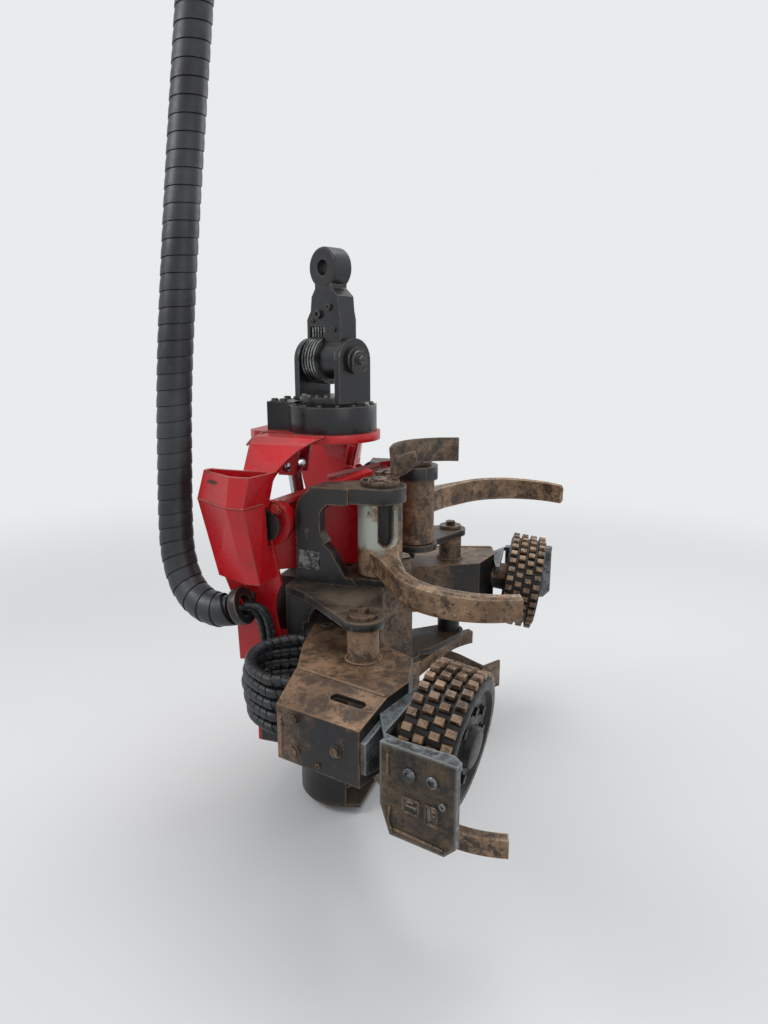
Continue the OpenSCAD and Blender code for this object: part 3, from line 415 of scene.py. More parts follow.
casting, add, out = start_material("black_casting_paint")
colour, rough, worn, height = paint_film(add, out, "#121316", "#1C1D21", "#625F59", "#0D0C0B", "#45423D",
                                         gloss=0.25, chips=0.5, soil=0.5, dusty=0.40, edge_mm=8)
surface(add, colour, rough, add(TIMES, worn, 0.5), height, 0.9)
parts = [sleeve(-38, 38, 25, 66, 5, swing_centre + [0, 0, EYE_RISE], swing_side),
         prism(NECK, -NECK_HALF, NECK_HALF, along_swing),
         sleeve(4, 83, PIN_BORE_R, 64, 4, swing_centre, swing_axis),
         sleeve(-83, -69, PIN_BORE_R, 52, 3, swing_centre, swing_axis),
         sleeve(-70, 5, PIN_BORE_R, 42, 0, swing_centre, swing_axis)]
round_edges(add_piece("swing_link", parts, "link", casting, "link"), 5)
parts = [turned_part(SOCKET_SCREW, swing_centre + swing_axis * x - swing_side * NECK_HALF / 1000
                     + [0, 0, z], -swing_side, size) for x, z, size in LINK_SCREWS]
add_piece("link_screws", parts, "link", casting)

# Brake discs: five ground steel discs with tongues that stop them turning, stacked on the link's
# sleeve round the swing pin. Bare and oily, as the hoses' turned couplings are.
DISC_STARTS = (-64, -50, -36, -22, -8)
DISC_T = 7
DISC_TONGUE = [(-30, 60), (30, 60), (30, 109), (-30, 109)]


def bare_steel(add, out, mid, light, dark, pale, gloss, pale_share, edge_mm):
    """Steel that lives in bark and mud: a brown film, dark sap stains, long scratches, pale flecks of
    dried clay, and rubbed edges. Returns colour, roughness and height."""
    where = out["Object"]
    clouds = add(NOISE, where, spots(120), 8.0, 0.68, Distortion=0.3)
    stains = add(NOISE, where, spots(34), 9.0, 0.76, Distortion=0.3)
    flecks = add(NOISE, where, spots(4), 6.0, 0.8)
    pits = add(NOISE, where, spots(9), 8.0, 0.78)
    scratches = add(NOISE, add("Mapping", where, Scale=(0.15, 1.0, 1.6)), spots(6), 4.0, 0.6)
    colour = add(BLEND, add(STEP, clouds, 0.40, 0.62), mid, light)
    for pattern, low, high, share, tone in ((stains, 0.47, 0.58, 0.85, dark), (pits, 0.50, 0.62, 0.75, dark),
                                            (scratches, 0.60, 0.72, 0.6, light)):
        shown = add(STEP, pattern, low, high, 0.0, share)
        colour = add(BLEND, shown, colour, tone)
    clay = add(TIMES, add(STEP, flecks, 0.55, 0.64),
               add(STEP, clouds, 0.60 - 0.3 * pale_share, 0.72 - 0.2 * pale_share))
    colour = add(BLEND, clay, colour, pale)
    rubbed = add(TIMES, edge_wear(add, edge_mm), add(STEP, flecks, 0.28, 0.56, 0.0, 0.85))
    colour = add(BLEND, rubbed, colour, light)
    rough = add(PLUS, add(STEP, pits, 0.3, 0.7, gloss - 0.12, gloss + 0.16),
                add(TIMES, clay, 0.3), use_clamp=True)
    height = add(PLUS, add(TIMES, flecks, 0.4), add(TIMES, pits, 0.8), use_clamp=True)
    return colour, rough, height


steel, add, out = start_material("greasy_machined_steel")
colour, rough, height = bare_steel(add, out, "#5A5A59", "#8F9192", "#1E1C1A", "#6E6A62", gloss=0.34,
                                   pale_share=0.1, edge_mm=2)
surface(add, colour, rough, 0.75, height, 0.2)
parts = []
for x in DISC_STARTS:
    parts.append(sleeve(x, x + DISC_T, 42.3, 82, 1, swing_centre, swing_axis))
    parts.append(prism(DISC_TONGUE, x, x + DISC_T, lambda p: along_swing(p[:, [2, 1, 0]])))
add_piece("swing_brake_discs", parts, "link", steel, "brake_discs")
dress(steel, "hose_ends", bevel_mm=1)

# Rotator bracket and swing pin: a black cast box with two ears. Arched keeper plates hold the pin at
# its ends, and a ring of hexagon bolts fixes the flange, apart from where the ears stand.
KEEPER_OUT = 0.126
KEEPER_T = 0.009
KEEPER_R = 0.033
KEEPER_FOOT = [(-0.033, -0.030), (-0.027, -0.036), (0.027, -0.036), (0.033, -0.030)]
FLANGE_TOP = 1496
FLANGE_BOLT_R = 0.096
EAR_IN, EAR_HALF = 0.078, 0.080


def plate(outline, centre, normal, up, height, chamfer):
    """A flat plate: its outline rises to the height, less its chamfer, and closes on a centre point.
    Outline points run along across (up x normal) and up, in metres."""
    normal, up = (np.asarray(v, float) / np.linalg.norm(v) for v in (normal, up))
    p = np.asarray(outline, float)
    middle = p.mean(axis=0)
    inset = 1 - chamfer / np.linalg.norm(p - middle, axis=1).mean()
    levels = [(0.0, -0.001), (1.0, -0.001), (1.0, height - chamfer), (inset, height), (0.0, height)]
    verts = []
    for share, level in levels:
        ring = middle + (p - middle) * share
        verts.append(np.asarray(centre) + ring[:, :1] * np.cross(up, normal) + ring[:, 1:] * up
                     + level * normal)
    return np.concatenate(verts), grid_faces(len(levels), len(p))


dress(casting, "rotator_bracket", bevel_mm=5)
dress(casting, "swing_pin", bevel_mm=2)
a = np.linspace(0, np.pi, 15)
keeper = np.concatenate([KEEPER_R * np.stack([np.cos(a), np.sin(a)], axis=-1), KEEPER_FOOT])
parts = []
for outward in (-swing_axis, swing_axis):
    face = swing_centre + outward * KEEPER_OUT
    parts.append(plate(keeper, face, outward, (0, 0, 1), KEEPER_T, 0.003))
    parts.append(turned_part(HEX_BOLT, face + outward * KEEPER_T, outward, 0.026))
add_piece("swing_pin_keepers", parts, "bracket", casting)
parts = []
for a in np.radians(np.arange(0, 360, 20)):
    spot = FLANGE_BOLT_R * np.array([math.cos(a), math.sin(a), 0.0])
    if abs(spot @ swing_axis) < EAR_IN or abs(spot @ swing_side) > EAR_HALF:
        parts.append(turned_part(HEX_BOLT, floor_mm(0, 0, FLANGE_TOP) + spot, (0, 0, 1), 0.017))
add_piece("flange_bolts", parts, "bracket", steel)

# Rotator housing: a turned black casting with its motor block bolted on behind. Socket screws ring
# its rim, apart from where the motor block stands.
RIM_SCREW_R, RIM_TOP, MOTOR_TOP = 137, 1468, 1476
dress(casting, "rotator_housing", bevel_mm=3)
parts = [turned_part(SOCKET_SCREW, floor_mm(RIM_SCREW_R * math.cos(a), RIM_SCREW_R * math.sin(a), RIM_TOP),
                     (0, 0, 1), 0.016)
         for a in np.radians(np.arange(10, 370, 24)) if not 150 < math.degrees(a) < 215]
parts += [turned_part(HEX_BOLT, floor_mm(x, y, MOTOR_TOP), (0, 0, 1), 0.022)
          for x, y in ((-200, -40), (-200, 62), (-165, -42), (-165, 66))]
add_piece("housing_bolts", parts, "yoke", casting)

# Tilt yoke, head frame, side plates and pivot guards: welded steel plate in red two-pack enamel. It
# is glossy where clean, chalky where sun-worn, oily in the hollows, and rust shows along the edges.
red, add, out = start_material("red_two_pack_enamel")
colour, rough, _, height = paint_film(add, out, "#C20F1B", "#A00B15", "#5E3F30", "#3E1512", "#8A3632",
                                      gloss=0.24, chips=0.70, soil=0.32, dusty=0.40, edge_mm=8)
surface(add, colour, rough, 0.0, height, 0.45)
dress(red, "tilt_yoke", "head_frame", "side_plate_near", "side_plate_far", "rear_cover")
dress(red, "pivot_guard_near", "pivot_guard_far", bevel_mm=3)
dress(casting, "pivot_pins", bevel_mm=3)

# Guard bolts, grease and welds: each pivot guard is held by one large bolt and three small ones in
# its top recess, where old grease and grit lie. A weld runs round its fold.
RECESS_FLOOR = 1262
GUARD_BOLTS = [(-150, -438, 0.036), (-172, -403, 0.024), (-128, -400, 0.024), (-96, -452, 0.020)]
GUARD_FOLD = [(-64, -412, 1197), (-86, -500, 1197), (-143, -500, 1197), (-301, -401, 1197)]


def rounded(width, height, corner, count=6):
    """Outline of a rectangle with round corners, middle at 0: one quarter arc, turned four times."""
    a = np.linspace(0, np.pi / 2, count)
    quarter = np.stack([np.cos(a), np.sin(a)], axis=-1) * corner
    outline = []
    for i, corner_side in enumerate([(1, 1), (-1, 1), (-1, -1), (1, -1)]):
        c, s = math.cos(i * np.pi / 2), math.sin(i * np.pi / 2)
        middle = np.array(corner_side) * [width / 2 - corner, height / 2 - corner]
        outline.append(middle + quarter @ np.array([[c, s], [-s, c]]))
    return np.concatenate(outline)


# A weld bead's ring spacing, the length and share of its ripples, and the length of its ends.
BEAD_STEP, RIPPLE, RIPPLE_SHARE, BEAD_END = 0.0018, 0.005, 0.14, 0.004


def weld_bead(points, radius, sides=8):
    """A weld bead along straight legs: a tube whose radius is radius * (1 + share * sin(2 pi s /
    ripple)) at length s, and whose ends are drawn to a point."""
    p = np.asarray(points, float)
    at = np.concatenate([[0], np.cumsum(np.linalg.norm(np.diff(p, axis=0), axis=1))])
    s = np.linspace(0, at[-1], max(6, int(at[-1] / BEAD_STEP)))
    line = np.stack([np.interp(s, at, p[:, i]) for i in range(3)], axis=-1)
    ends = np.minimum(1, np.minimum(s, at[-1] - s) / BEAD_END)
    rippled = radius * (1 + RIPPLE_SHARE * np.sin(2 * np.pi * s / RIPPLE))
    return tube(*route_frames(line, s), rippled * ends, sides)


grease, add, out = start_material("old_grease_and_grit")
lumps = add(NOISE, out["Object"], spots(14), 7.0, 0.7)
colour = add(BLEND, add(STEP, lumps, 0.4, 0.7), "#1A1614", "#3C322A")
surface(add, colour, add(STEP, lumps, 0.3, 0.7, 0.3, 0.6), 0.0, lumps, 2.5)
pool = rounded(0.175, 0.062, 0.024, 8)
pool = pool * (1 + 0.06 * np.sin(np.arange(len(pool)) * 1.7)[:, None])
for side, name in SIDES:
    parts = [turned_part(HEX_BOLT, floor_mm(x, side * y, RECESS_FLOOR), (0, 0, 1), size)
             for x, y, size in GUARD_BOLTS]
    add_piece("guard_bolts_" + name, parts, "head", casting)
    add_piece("guard_grease_" + name,
              [plate(pool, floor_mm(-150, side * -424, RECESS_FLOOR), (0, 0, 1), (0, 1, 0), 0.004, 0.003)],
              "head", grease)
    parts = [weld_bead([floor_mm(x, side * y, z) for x, y, z in GUARD_FOLD], 0.0035)]
    add_piece("guard_weld_" + name, parts, "head", red)

# Welds of the yoke and the frame: beads painted over with the plates. Two bolts on each side hold
# the side plate's upper edge.
yoke_welds, frame_parts = [], []
for side in (-1, 1):
    yoke_welds.append(weld_bead([floor_mm(-204, side * 118, 1377), floor_mm(-204, side * 205, 1366),
                                 floor_mm(-204, side * 246, 1348)], 0.004))
    yoke_welds.append(weld_bead([floor_mm(-150, side * 165, 1374), floor_mm(40, side * 165, 1374)], 0.005))
    frame_parts.append(weld_bead([floor_mm(-108, side * 300, 1150), floor_mm(175, side * 103, 1246)], 0.005))
    frame_parts.append(turned_part(HEX_BOLT, floor_mm(-42, side * 372, 1176), (0, side, 0), 0.030))
    frame_parts.append(turned_part(HEX_BOLT, floor_mm(-76, side * 372, 1236), (0, side, 0), 0.022))
add_piece("yoke_welds", yoke_welds, "yoke", red)
add_piece("frame_welds_and_bolts", frame_parts, "head", red)

# Tilt cylinder and valves behind the yoke: a painted black barrel, a hard-chromed rod that shines
# between the red plates, and oily cast valve blocks that stand in the frame.
dress(casting, "tilt_barrel", bevel_mm=0)
chrome, add, out = start_material("chromed_rod")
haze = add(NOISE, out["Object"], spots(30), 4.0, 0.6)
surface(add, add(BLEND, haze, "#BFC3C7", "#A4A8AC"),
        add(STEP, haze, 0.3, 0.7, 0.12, 0.24), 1.0, haze, 0.02)
dress(chrome, "tilt_rod", bevel_mm=1)
dress(steel, "valve_block", bevel_mm=2)

# Knife housings, arm brackets, lower frame and hose clamp: welded plate in black chassis paint,
# satin, scraped by branches, with brown dust on what looks up and steel along every rubbed edge.
black, add, out = start_material("black_chassis_paint")
colour, rough, worn, height = paint_film(add, out, "#131417", "#1B1C1F", "#7E684F", "#2B231B", "#5A4B3B",
                                         gloss=0.28, chips=0.8, soil=0.70, dusty=0.70, edge_mm=9)
scraped = add("Mapping", out["Object"], Scale=(0.3, 1.0, 0.10))
scores = add(NOISE, scraped, spots(5), 3.0, 0.5, Distortion=0.3)
colour = add(BLEND, add(STEP, scores, 0.66, 0.72, 0.0, 0.5), colour, "#6F6658")
surface(add, colour, rough, add(TIMES, worn, 0.4), height, 0.6)
dress(black, "knife_housing_near", "knife_housing_far", "arm_bracket_near", "arm_bracket_far", bevel_mm=4)
dress(black, "lower_frame", bevel_mm=0)
dress(black, "hose_clamp", bevel_mm=1.5)

# Blank plate: thin bare aluminium, rubbed nearly black, held by four rivets on the near knife
# housing.
PLATE_X, PLATE_Z = 34, 998
blank, add, out = start_material("blank_aluminium_plate")
rubs = add(NOISE, out["Object"], spots(12), 8.0, 0.8)
surface(add, add(BLEND, add(STEP, rubs, 0.42, 0.58), "#2A2B2D", "#8D9091"),
        add(STEP, rubs, 0.3, 0.7, 0.35, 0.6), 0.6, rubs, 0.15)
add_piece("blank_plate", [plate(rounded(0.072, 0.062, 0.004), floor_mm(PLATE_X, -302, PLATE_Z), (0, -1, 0),
                                (0.06, 0, 1), 0.0025, 0.0008)], "head", blank)
parts = [turned_part(SOCKET_SCREW, floor_mm(PLATE_X + dx, -304.2, PLATE_Z + dz), (0, -1, 0), 0.006)
         for dx in (-30, 30) for dz in (-26, 26)]
add_piece("blank_plate_rivets", parts, "head", steel)

# Saw box: a flat welded housing under the frame, round behind and open in front, where the bar swings
# out. Flange plates bolt it on, the lower knives' two pins stand on it, and a round motor is inside.
SAW_X, SAW_R, SAW_WALL = 50, 185, 12
SAW_LOW, WING_TOP, SAW_TOP, FRAME_LOW = 30, 150, 240, 252
LOW_PIN_X, LOW_PIN_Y, LOW_PIN_R = 205, 235, 26
saw_turn = np.radians(np.linspace(-90, -180, 30))
saw_back = [(SAW_X + SAW_R * math.cos(a), SAW_R * math.sin(a)) for a in saw_turn]
saw_inside = [(SAW_X + (SAW_R - SAW_WALL) * math.cos(a), (SAW_R - SAW_WALL) * math.sin(a))
              for a in saw_turn[::-1]]
flange = [(-120, 1), (150, 1), (150, -120), (LOW_PIN_X + 44, -LOW_PIN_Y + 24),
          (LOW_PIN_X + 36, -LOW_PIN_Y - 36), (LOW_PIN_X, -LOW_PIN_Y - 50), (LOW_PIN_X - 50, -LOW_PIN_Y - 20),
          (-120, -170)]
saw_plates = [
    (saw_back + [(-135, 560), (40, 560), (150, 190), (150, -160)], SAW_LOW, SAW_LOW + SAW_WALL),
    (saw_back + [(-135, 200), (147, 200), (150, 190), (150, -160)], SAW_TOP - SAW_WALL, SAW_TOP),
    ([(-135, 189), (-135, 560), (40, 560), (150, 190)], WING_TOP - SAW_WALL, WING_TOP),
    ([(100, -178)] + saw_back + [(-135, 200), (-123, 200)] + saw_inside + [(100, -166)], 40, 230),
    ([(-135, 200), (-135, 560), (40, 560), (44, 548), (-123, 548), (-123, 200)], 40, 140),
    ([(40, 560), (150, 190), (137, 190), (28, 556)], 102, 140),
    ([(-135, 188), (-135, 200), (147, 200), (149, 188)], 148, 230),
    ([(150, 230), (230, 250), (440, 470), (330, 570), (130, 400)], SAW_TOP - 1, FRAME_LOW),
    (flange, SAW_TOP - 1, FRAME_LOW), ([(x, -y) for x, y in flange], SAW_TOP - 1, FRAME_LOW)]
MOTOR_LOW = 42.3
SAW_MOTOR = [(0, 0, 0), (0, 44, 0), (12, 50, 0), (60, 50, 0), (64, 46, 0), (120, 46, 0), (124, 50, 0),
             (178, 50, 0), (185, 44, 0), (185, 0, 0)]


def bar_rows(length, radius):
    """Rows of a plain round bar."""
    return [(0, 0, 0), (0, radius, 0), (length, radius, 0), (length, 0, 0)]


parts = [prism(outline, low, high, floor_mm) for outline, low, high in saw_plates]
for y in (-LOW_PIN_Y, LOW_PIN_Y):
    parts.append(turned_part(bar_rows(236, LOW_PIN_R), floor_mm(LOW_PIN_X, y, SAW_TOP - 1), (0, 0, 1),
                             ROWS_IN_MM, 48))
    parts += [turned_part(HEX_BOLT, floor_mm(x, y * share, FRAME_LOW), (0, 0, 1), 0.022)
              for x, share in ((LOW_PIN_X - 66, 0.80), (120, 0.55))]
round_edges(add_piece("saw_housing", parts, "head", black, "saw_box"), 2.5)
parts = [turned_part(SAW_MOTOR, floor_mm(-62, -15, MOTOR_LOW), (0, 0, 1), ROWS_IN_MM, 48),
         turned_part(bar_rows(185, 17), floor_mm(60, -120, MOTOR_LOW), (0, 0, 1), ROWS_IN_MM, 32)]
add_piece("saw_motor_drum", parts, "head", steel, "saw_motor")

# Knife pins and arm pins: turned steel, brown with old grease. Six screws hold each knife pin's cap,
# which has a dished boss in its middle. The fixed knife's foot is bolted down between the caps.
KNIFE_PIN = (240, -200)
CAP_TOP, CAP_SCREW_R, FOOT_TOP = 1253, 47, 1251
CAP_BOSS = [(-0.1, 0, 0), (-0.1, 0.9, 0), (0.12, 0.9, 0), (0.2, 0.82, 0), (0.2, 0.3, 0), (0.05, 0.2, 0),
            (0.05, 0, 0)]
pin_steel, add, out = start_material("oiled_pin_steel")
colour, rough, height = bare_steel(add, out, "#4A3C31", "#7A6350", "#211B17", "#6E6A62", gloss=0.36,
                                   pale_share=0.1, edge_mm=3)
surface(add, colour, rough, 0.45, height, 0.3)
dress(pin_steel, "knife_pins", "arm_pins", bevel_mm=3)
parts = []
for side in (-1, 1):
    middle = floor_mm(KNIFE_PIN[0], side * -KNIFE_PIN[1], CAP_TOP)
    for a in np.radians(np.arange(15, 375, 60)):
        spot = CAP_SCREW_R / 1000 * np.array([math.cos(a), math.sin(a), 0])
        parts.append(turned_part(SOCKET_SCREW, middle + spot, (0, 0, 1), 0.016))
    parts.append(turned_part(CAP_BOSS, middle, (0, 0, 1), 0.062, 32))
    parts += [turned_part(HEX_BOLT, floor_mm(x, side * y, FOOT_TOP), (0, 0, 1), 0.026)
              for y in (112, 78) for x in (208, 240)]
add_piece("knife_cap_bolts", parts, "head", pin_steel)

# Knives: boron steel castings on pins. A hub, which a window forks on the near one, carries a shank
# and a curved blade with a rib along its top. Bark grinds them bright, and rust and sap film them
# brown; their up-facing edges are pale, partly ground steel and partly a painted highlight; the hubs
# keep some pale worn paint, and the sleeve on the pin is black.
KNIFE_TURN = math.radians(-60)
HUB_LOW, HUB_HIGH, HUB_R, SLEEVE_R, BORE_R = 947.3, 1186.7, 72.0, 46.0, 32.4
BLADE_R, SHANK, BLADE_T, BLADE_H = 250.0, 278.0, 17.0, 90.0
WINDOW_HALF, WINDOW_LOW, WINDOW_TURN = 31.0, 1049.0, math.radians(-50)
# Section of the blade: (outwards in half thicknesses, share of the height), with a rib along its top.
BLADE_SECTION = np.array([(-1.0, 0.06), (-0.5, 0.0), (0.3, 0.0), (0.85, 0.05), (1.02, 0.17), (0.90, 0.34),
                          (0.90, 0.52), (1.10, 0.70), (1.06, 0.84), (0.5, 0.96), (-0.35, 1.0),
                          (-1.0, 0.94), (-0.82, 0.5)])


def near_and_far(add, out):
    """Position and normal with the near side mirrored onto the far one, so one zone serves both."""
    x, y, z = add(SPLIT, out["Object"]).node.outputs
    nx, ny, nz = add(SPLIT, out["Normal"]).node.outputs
    spot = add("CombineXYZ", x, add("Math.ABSOLUTE", y), z)
    return spot, add("CombineXYZ", nx, add(TIMES, ny, add("Math.SIGN", y)), nz)


def off_axis(add, spot, centre, axis):
    """Distance from a line, in metres: the length of the arm's cross product with the unit axis."""
    arm = add("VectorMath.SUBTRACT", spot, centre)
    return add("VectorMath.LENGTH", add("VectorMath.CROSS_PRODUCT", arm, axis))


def knife_place(x, y, z, side):
    """Millimetres in the knife's frame, X along its shank, in the model's frame."""
    c, s = math.cos(KNIFE_TURN), math.sin(KNIFE_TURN)
    return floor_mm(np.stack([KNIFE_PIN[0] + x * c - y * s, side * (KNIFE_PIN[1] + x * s + y * c), z],
                             axis=-1))


def knife_hub(side, forked):
    """Hub as a function of turn a and height z: its radius is the hub's, and falls to the sleeve's
    where the distance to a U-shaped window is below 0, over 3 mm. The bore closes it."""
    a = np.radians(np.arange(0, 360, 3.0))[None]
    z = np.concatenate([[HUB_LOW, HUB_LOW, HUB_LOW + 4], np.arange(HUB_LOW + 8, HUB_HIGH - 6, 3.0),
                        [HUB_HIGH - 4, HUB_HIGH, HUB_HIGH, HUB_LOW]])[:, None]
    body = np.full((len(z), a.shape[1]), HUB_R)
    body[[0, -2, -1]] = BORE_R
    body[[1, -3]] = HUB_R - 4
    if forked:
        turn = a - WINDOW_TURN
        y, middle = HUB_R * np.sin(turn), WINDOW_LOW + WINDOW_HALF
        edge = np.where(z > middle, np.abs(y), np.hypot(y, z - middle)) - WINDOW_HALF
        inside = (np.cos(turn) > 0) * (1 - np.clip(edge / 3, 0, 1)) * (body > SLEEVE_R)
        body -= inside * (body - SLEEVE_R)
    turn = a - KNIFE_TURN
    points = knife_place(body * np.cos(turn), body * np.sin(turn), z + 0 * a, side)
    return points.reshape(-1, 3), grid_faces(len(z), a.shape[1])


def knife_blade(side, low):
    """Shank and blade: the section carried along a straight and then round an arc of 95 degrees,
    thinner and lower towards the tip, and drawn in to a point at both ends."""
    x = np.linspace(24, SHANK, 26)
    near = np.interp(x, [0, 70, 140, SHANK], [-64, -38, -26, -BLADE_T])
    far = np.interp(x, [0, 60, 140, SHANK], [64, 48, 30, BLADE_T])
    turn = np.radians(np.linspace(-90, 5, 54))[1:]
    share = np.linspace(0, 1, len(turn))
    arc = np.stack([np.cos(turn), np.sin(turn)], axis=-1)
    line = np.concatenate([np.stack([x, (near + far) / 2], axis=-1), [SHANK, BLADE_R] + BLADE_R * arc])
    out = np.concatenate([np.tile([0.0, -1.0], (len(x), 1)), arc])
    half = np.concatenate([(far - near) / 2, BLADE_T - 6 * share**2])
    high = np.concatenate([np.full(len(x), BLADE_H), BLADE_H - 16 * share**1.5])
    base = np.concatenate([np.zeros(len(x)), 4 * share])
    line, out, half, high, base = (np.concatenate([v[:1], v, v[-1:], v[-1:]])
                                   for v in (line, out, half, high, base))
    scale = np.ones(len(line))
    scale[[0, -1]] = 0
    scale[-2] = 0.8
    line[-2:] += np.array([-out[-1][1], out[-1][0]]) * 5
    u, v = BLADE_SECTION.T
    across = half[:, None] * scale[:, None] * u
    height = base[:, None] + high[:, None] * (0.5 + (v - 0.5) * scale[:, None])
    x, y = (line[:, i, None] + out[:, i, None] * across for i in (0, 1))
    return knife_place(x, y, low + height, side).reshape(-1, 3), grid_faces(len(line), len(u))


knife, add, out = start_material("knife_boron_steel")
colour, rough, height = bare_steel(add, out, "#67503B", "#94755A", "#2E221A", "#ABA592", gloss=0.42,
                                   pale_share=0.55, edge_mm=9)
spot, turned = near_and_far(add, out)
up = add(SPLIT, turned).node.outputs["Z"]
rubs = add(NOISE, out["Object"], spots(22), 6.0, 0.7)
# Pale up-facing edges: partly steel rubbed bright, partly a painted highlight along the top rib.
rubbed_and_highlit_crest = add(TIMES, edge_wear(add, 12), add(STEP, up, -0.1, 0.5))
rubbed_and_highlit_crest = add(TIMES, rubbed_and_highlit_crest, add(STEP, rubs, 0.40, 0.56))
colour = add(BLEND, rubbed_and_highlit_crest, colour, "#B3A68E")
from_pin = off_axis(add, spot, (0.240, 0.200, 0.0), (0.0, 0.0, 1.0))
above_bevel = add(STEP, add(SPLIT, spot).node.outputs["Z"], -0.885, -0.865)
patches = add(NOISE, out["Object"], spots(45), 8.0, 0.7, Distortion=0.5)
outward = add(DOT, turned, (-0.55, 0.83, 0.0))
pale = add(TIMES, above_bevel, add(STEP, patches, 0.38, 0.50))
for distance, low, high in ((outward, -0.1, 0.5), (from_pin, 0.055, 0.060), (from_pin, 0.150, 0.085)):
    pale = add(TIMES, pale, add(STEP, distance, low, high))
colour = add(BLEND, pale, colour, "#A5ABA2")
sleeve_zone = add(TIMES, add(STEP, from_pin, 0.052, 0.049), above_bevel)
colour = add(BLEND, sleeve_zone, colour, "#17171A")
surface(add, colour, rough, 0.25, height, 0.8)
dress(knife, "lower_knife_near", "lower_knife_far", bevel_mm=6)
for (side, name), low in zip(SIDES, (955, 1055)):
    add_piece("upper_knife_casting_" + name, [knife_hub(side, name == "near"), knife_blade(side, low)],
              "upper_knife_" + name, knife, "upper_knife_" + name)

# Fixed top knife with its horn, log trough and bar guard: bent and welded wear plate, dark brown with
# sap. The saw bar and the measuring wheel are bare ground steel.
HORN = [(250, 1250), (284, 1250), (312, 1268), (336, 1295), (334, 1318), (328, 1337), (292, 1326),
        (262, 1311)]
HORN_NEAR, HORN_FAR = -118, -108
plate_steel, add, out = start_material("wear_plate_steel")
colour, rough, height = bare_steel(add, out, "#4F4136", "#7B6552", "#261E19", "#9A9486", gloss=0.44,
                                   pale_share=0.35, edge_mm=5)
surface(add, colour, rough, 0.25, height, 0.8)
dress(plate_steel, "fixed_knife", "log_trough", "bar_guard", bevel_mm=3)
horn = prism(HORN, HORN_NEAR, HORN_FAR, lambda p: floor_mm(p[:, [0, 2, 1]]))
round_edges(add_piece("fixed_knife_horn", [horn], "head", plate_steel), 3)
dress(steel, "saw_bar", "measuring_wheel", bevel_mm=1)

# Feed arms: boxes of welded plate on a turned hub. Black paint holds at the sides; on top and round
# the tail it is rubbed down to rust. Bolts and welds stand on its front face, top and tail.
arm, add, out = start_material("feed_arm_plate")
rust, _, rust_height = bare_steel(add, out, "#66503C", "#8E7056", "#392C23", "#9E9584", gloss=0.46,
                                  pale_share=0.35, edge_mm=8)
paint = paint_film(add, out, "#17181B", "#221F1C", "#7A6248", "#33281F", "#5E5142",
                   gloss=0.36, chips=0.8, soil=0.7, dusty=0.5, edge_mm=8)[0]
spot, turned = near_and_far(add, out)
up = add(SPLIT, turned).node.outputs["Z"]
tatters = add(NOISE, out["Object"], spots(38), 8.0, 0.7)
along_arm = add(DOT, spot, (math.cos(ARM_OPEN), -math.sin(ARM_OPEN), 0))
bared = add(PLUS, add(STEP, up, -0.2, 0.7), add(STEP, along_arm, 0.50, 0.28, 0.0, 0.30), use_clamp=True)
bared = add(PLUS, bared, add(TIMES, tatters, 0.55), use_clamp=True)
colour = add(BLEND, add(STEP, bared, 0.42, 0.60), paint, rust)
surface(add, colour, add(STEP, tatters, 0.3, 0.7, 0.38, 0.6), 0.2, rust_height, 0.8)
dress(arm, "feed_arm_near", "feed_arm_far", bevel_mm=4)
arm_front = np.array([math.sin(ARM_OPEN), -math.cos(ARM_OPEN), 0.0])
HUB_SEAM_R, HUB_SEAM_Z = 49, 796
hub_seam = [(HUB_SEAM_R * math.cos(a), HUB_SEAM_R * math.sin(a), HUB_SEAM_Z)
            for a in np.linspace(0, 2 * np.pi, 40)]
for side, name in SIDES:
    front = arm_front * [1, side, 1]
    parts = [turned_part(rows, at_arm(spot, side), direction, size) for rows, spot, direction, size in (
        (HEX_BOLT, (-227, 121, 795), (0, 0, 1), 0.030), (HEX_BOLT, (-15, -290, 732), front, 0.026),
        (HEX_BOLT, (-18, -290, 637), front, 0.024), (HEX_BOLT, (118, -290, 680), front, 0.024),
        (SOCKET_SCREW, (60, -290, 620), front, 0.014), (SOCKET_SCREW, (-60, -290, 700), front, 0.012))]
    add_piece("arm_bolts_" + name, parts, "feed_arm_" + name, pin_steel)
    parts = [weld_bead(at_arm(points, side), radius) for points, radius in (
        (hub_seam, 0.005), ([(-114, -153, 795), (186, -163, 795)], 0.005),
        ([(-62, -291, 612), (-62, -291, 728)], 0.004), ([(-112, -160, 612), (-112, -160, 786)], 0.004))]
    add_piece("arm_welds_" + name, parts, "feed_arm_" + name, arm)

# Feed rollers: steel castings, four rows of blunt teeth on a drum that is bolted to the motor's hub.
# The gaps between the teeth are coloured near-black, and bark rubs the tooth tips to brown steel.
AXLE = np.array([0.98289, -0.12069, -0.13917])
TEETH, TIP_R, ROOT_R = 32, 195.0, 177.0
TOOTH_ROWS = (-82, -46, -10, 26)
TOOTH_W, TOOTH_SLOPE = 29, 3
HUB_FACE, HUB_BOLT_R = 0.047, 0.100
roller_middle = at_arm((325, -70, 675), 1)


def axle_frame(side):
    """The roller's middle, its axle and two unit vectors across the axle."""
    axle = AXLE * [1, side, 1]
    up = np.cross(axle, [0, 1, 0])
    up /= np.linalg.norm(up)
    return roller_middle * [1, side, 1], axle, up, np.cross(axle, up)


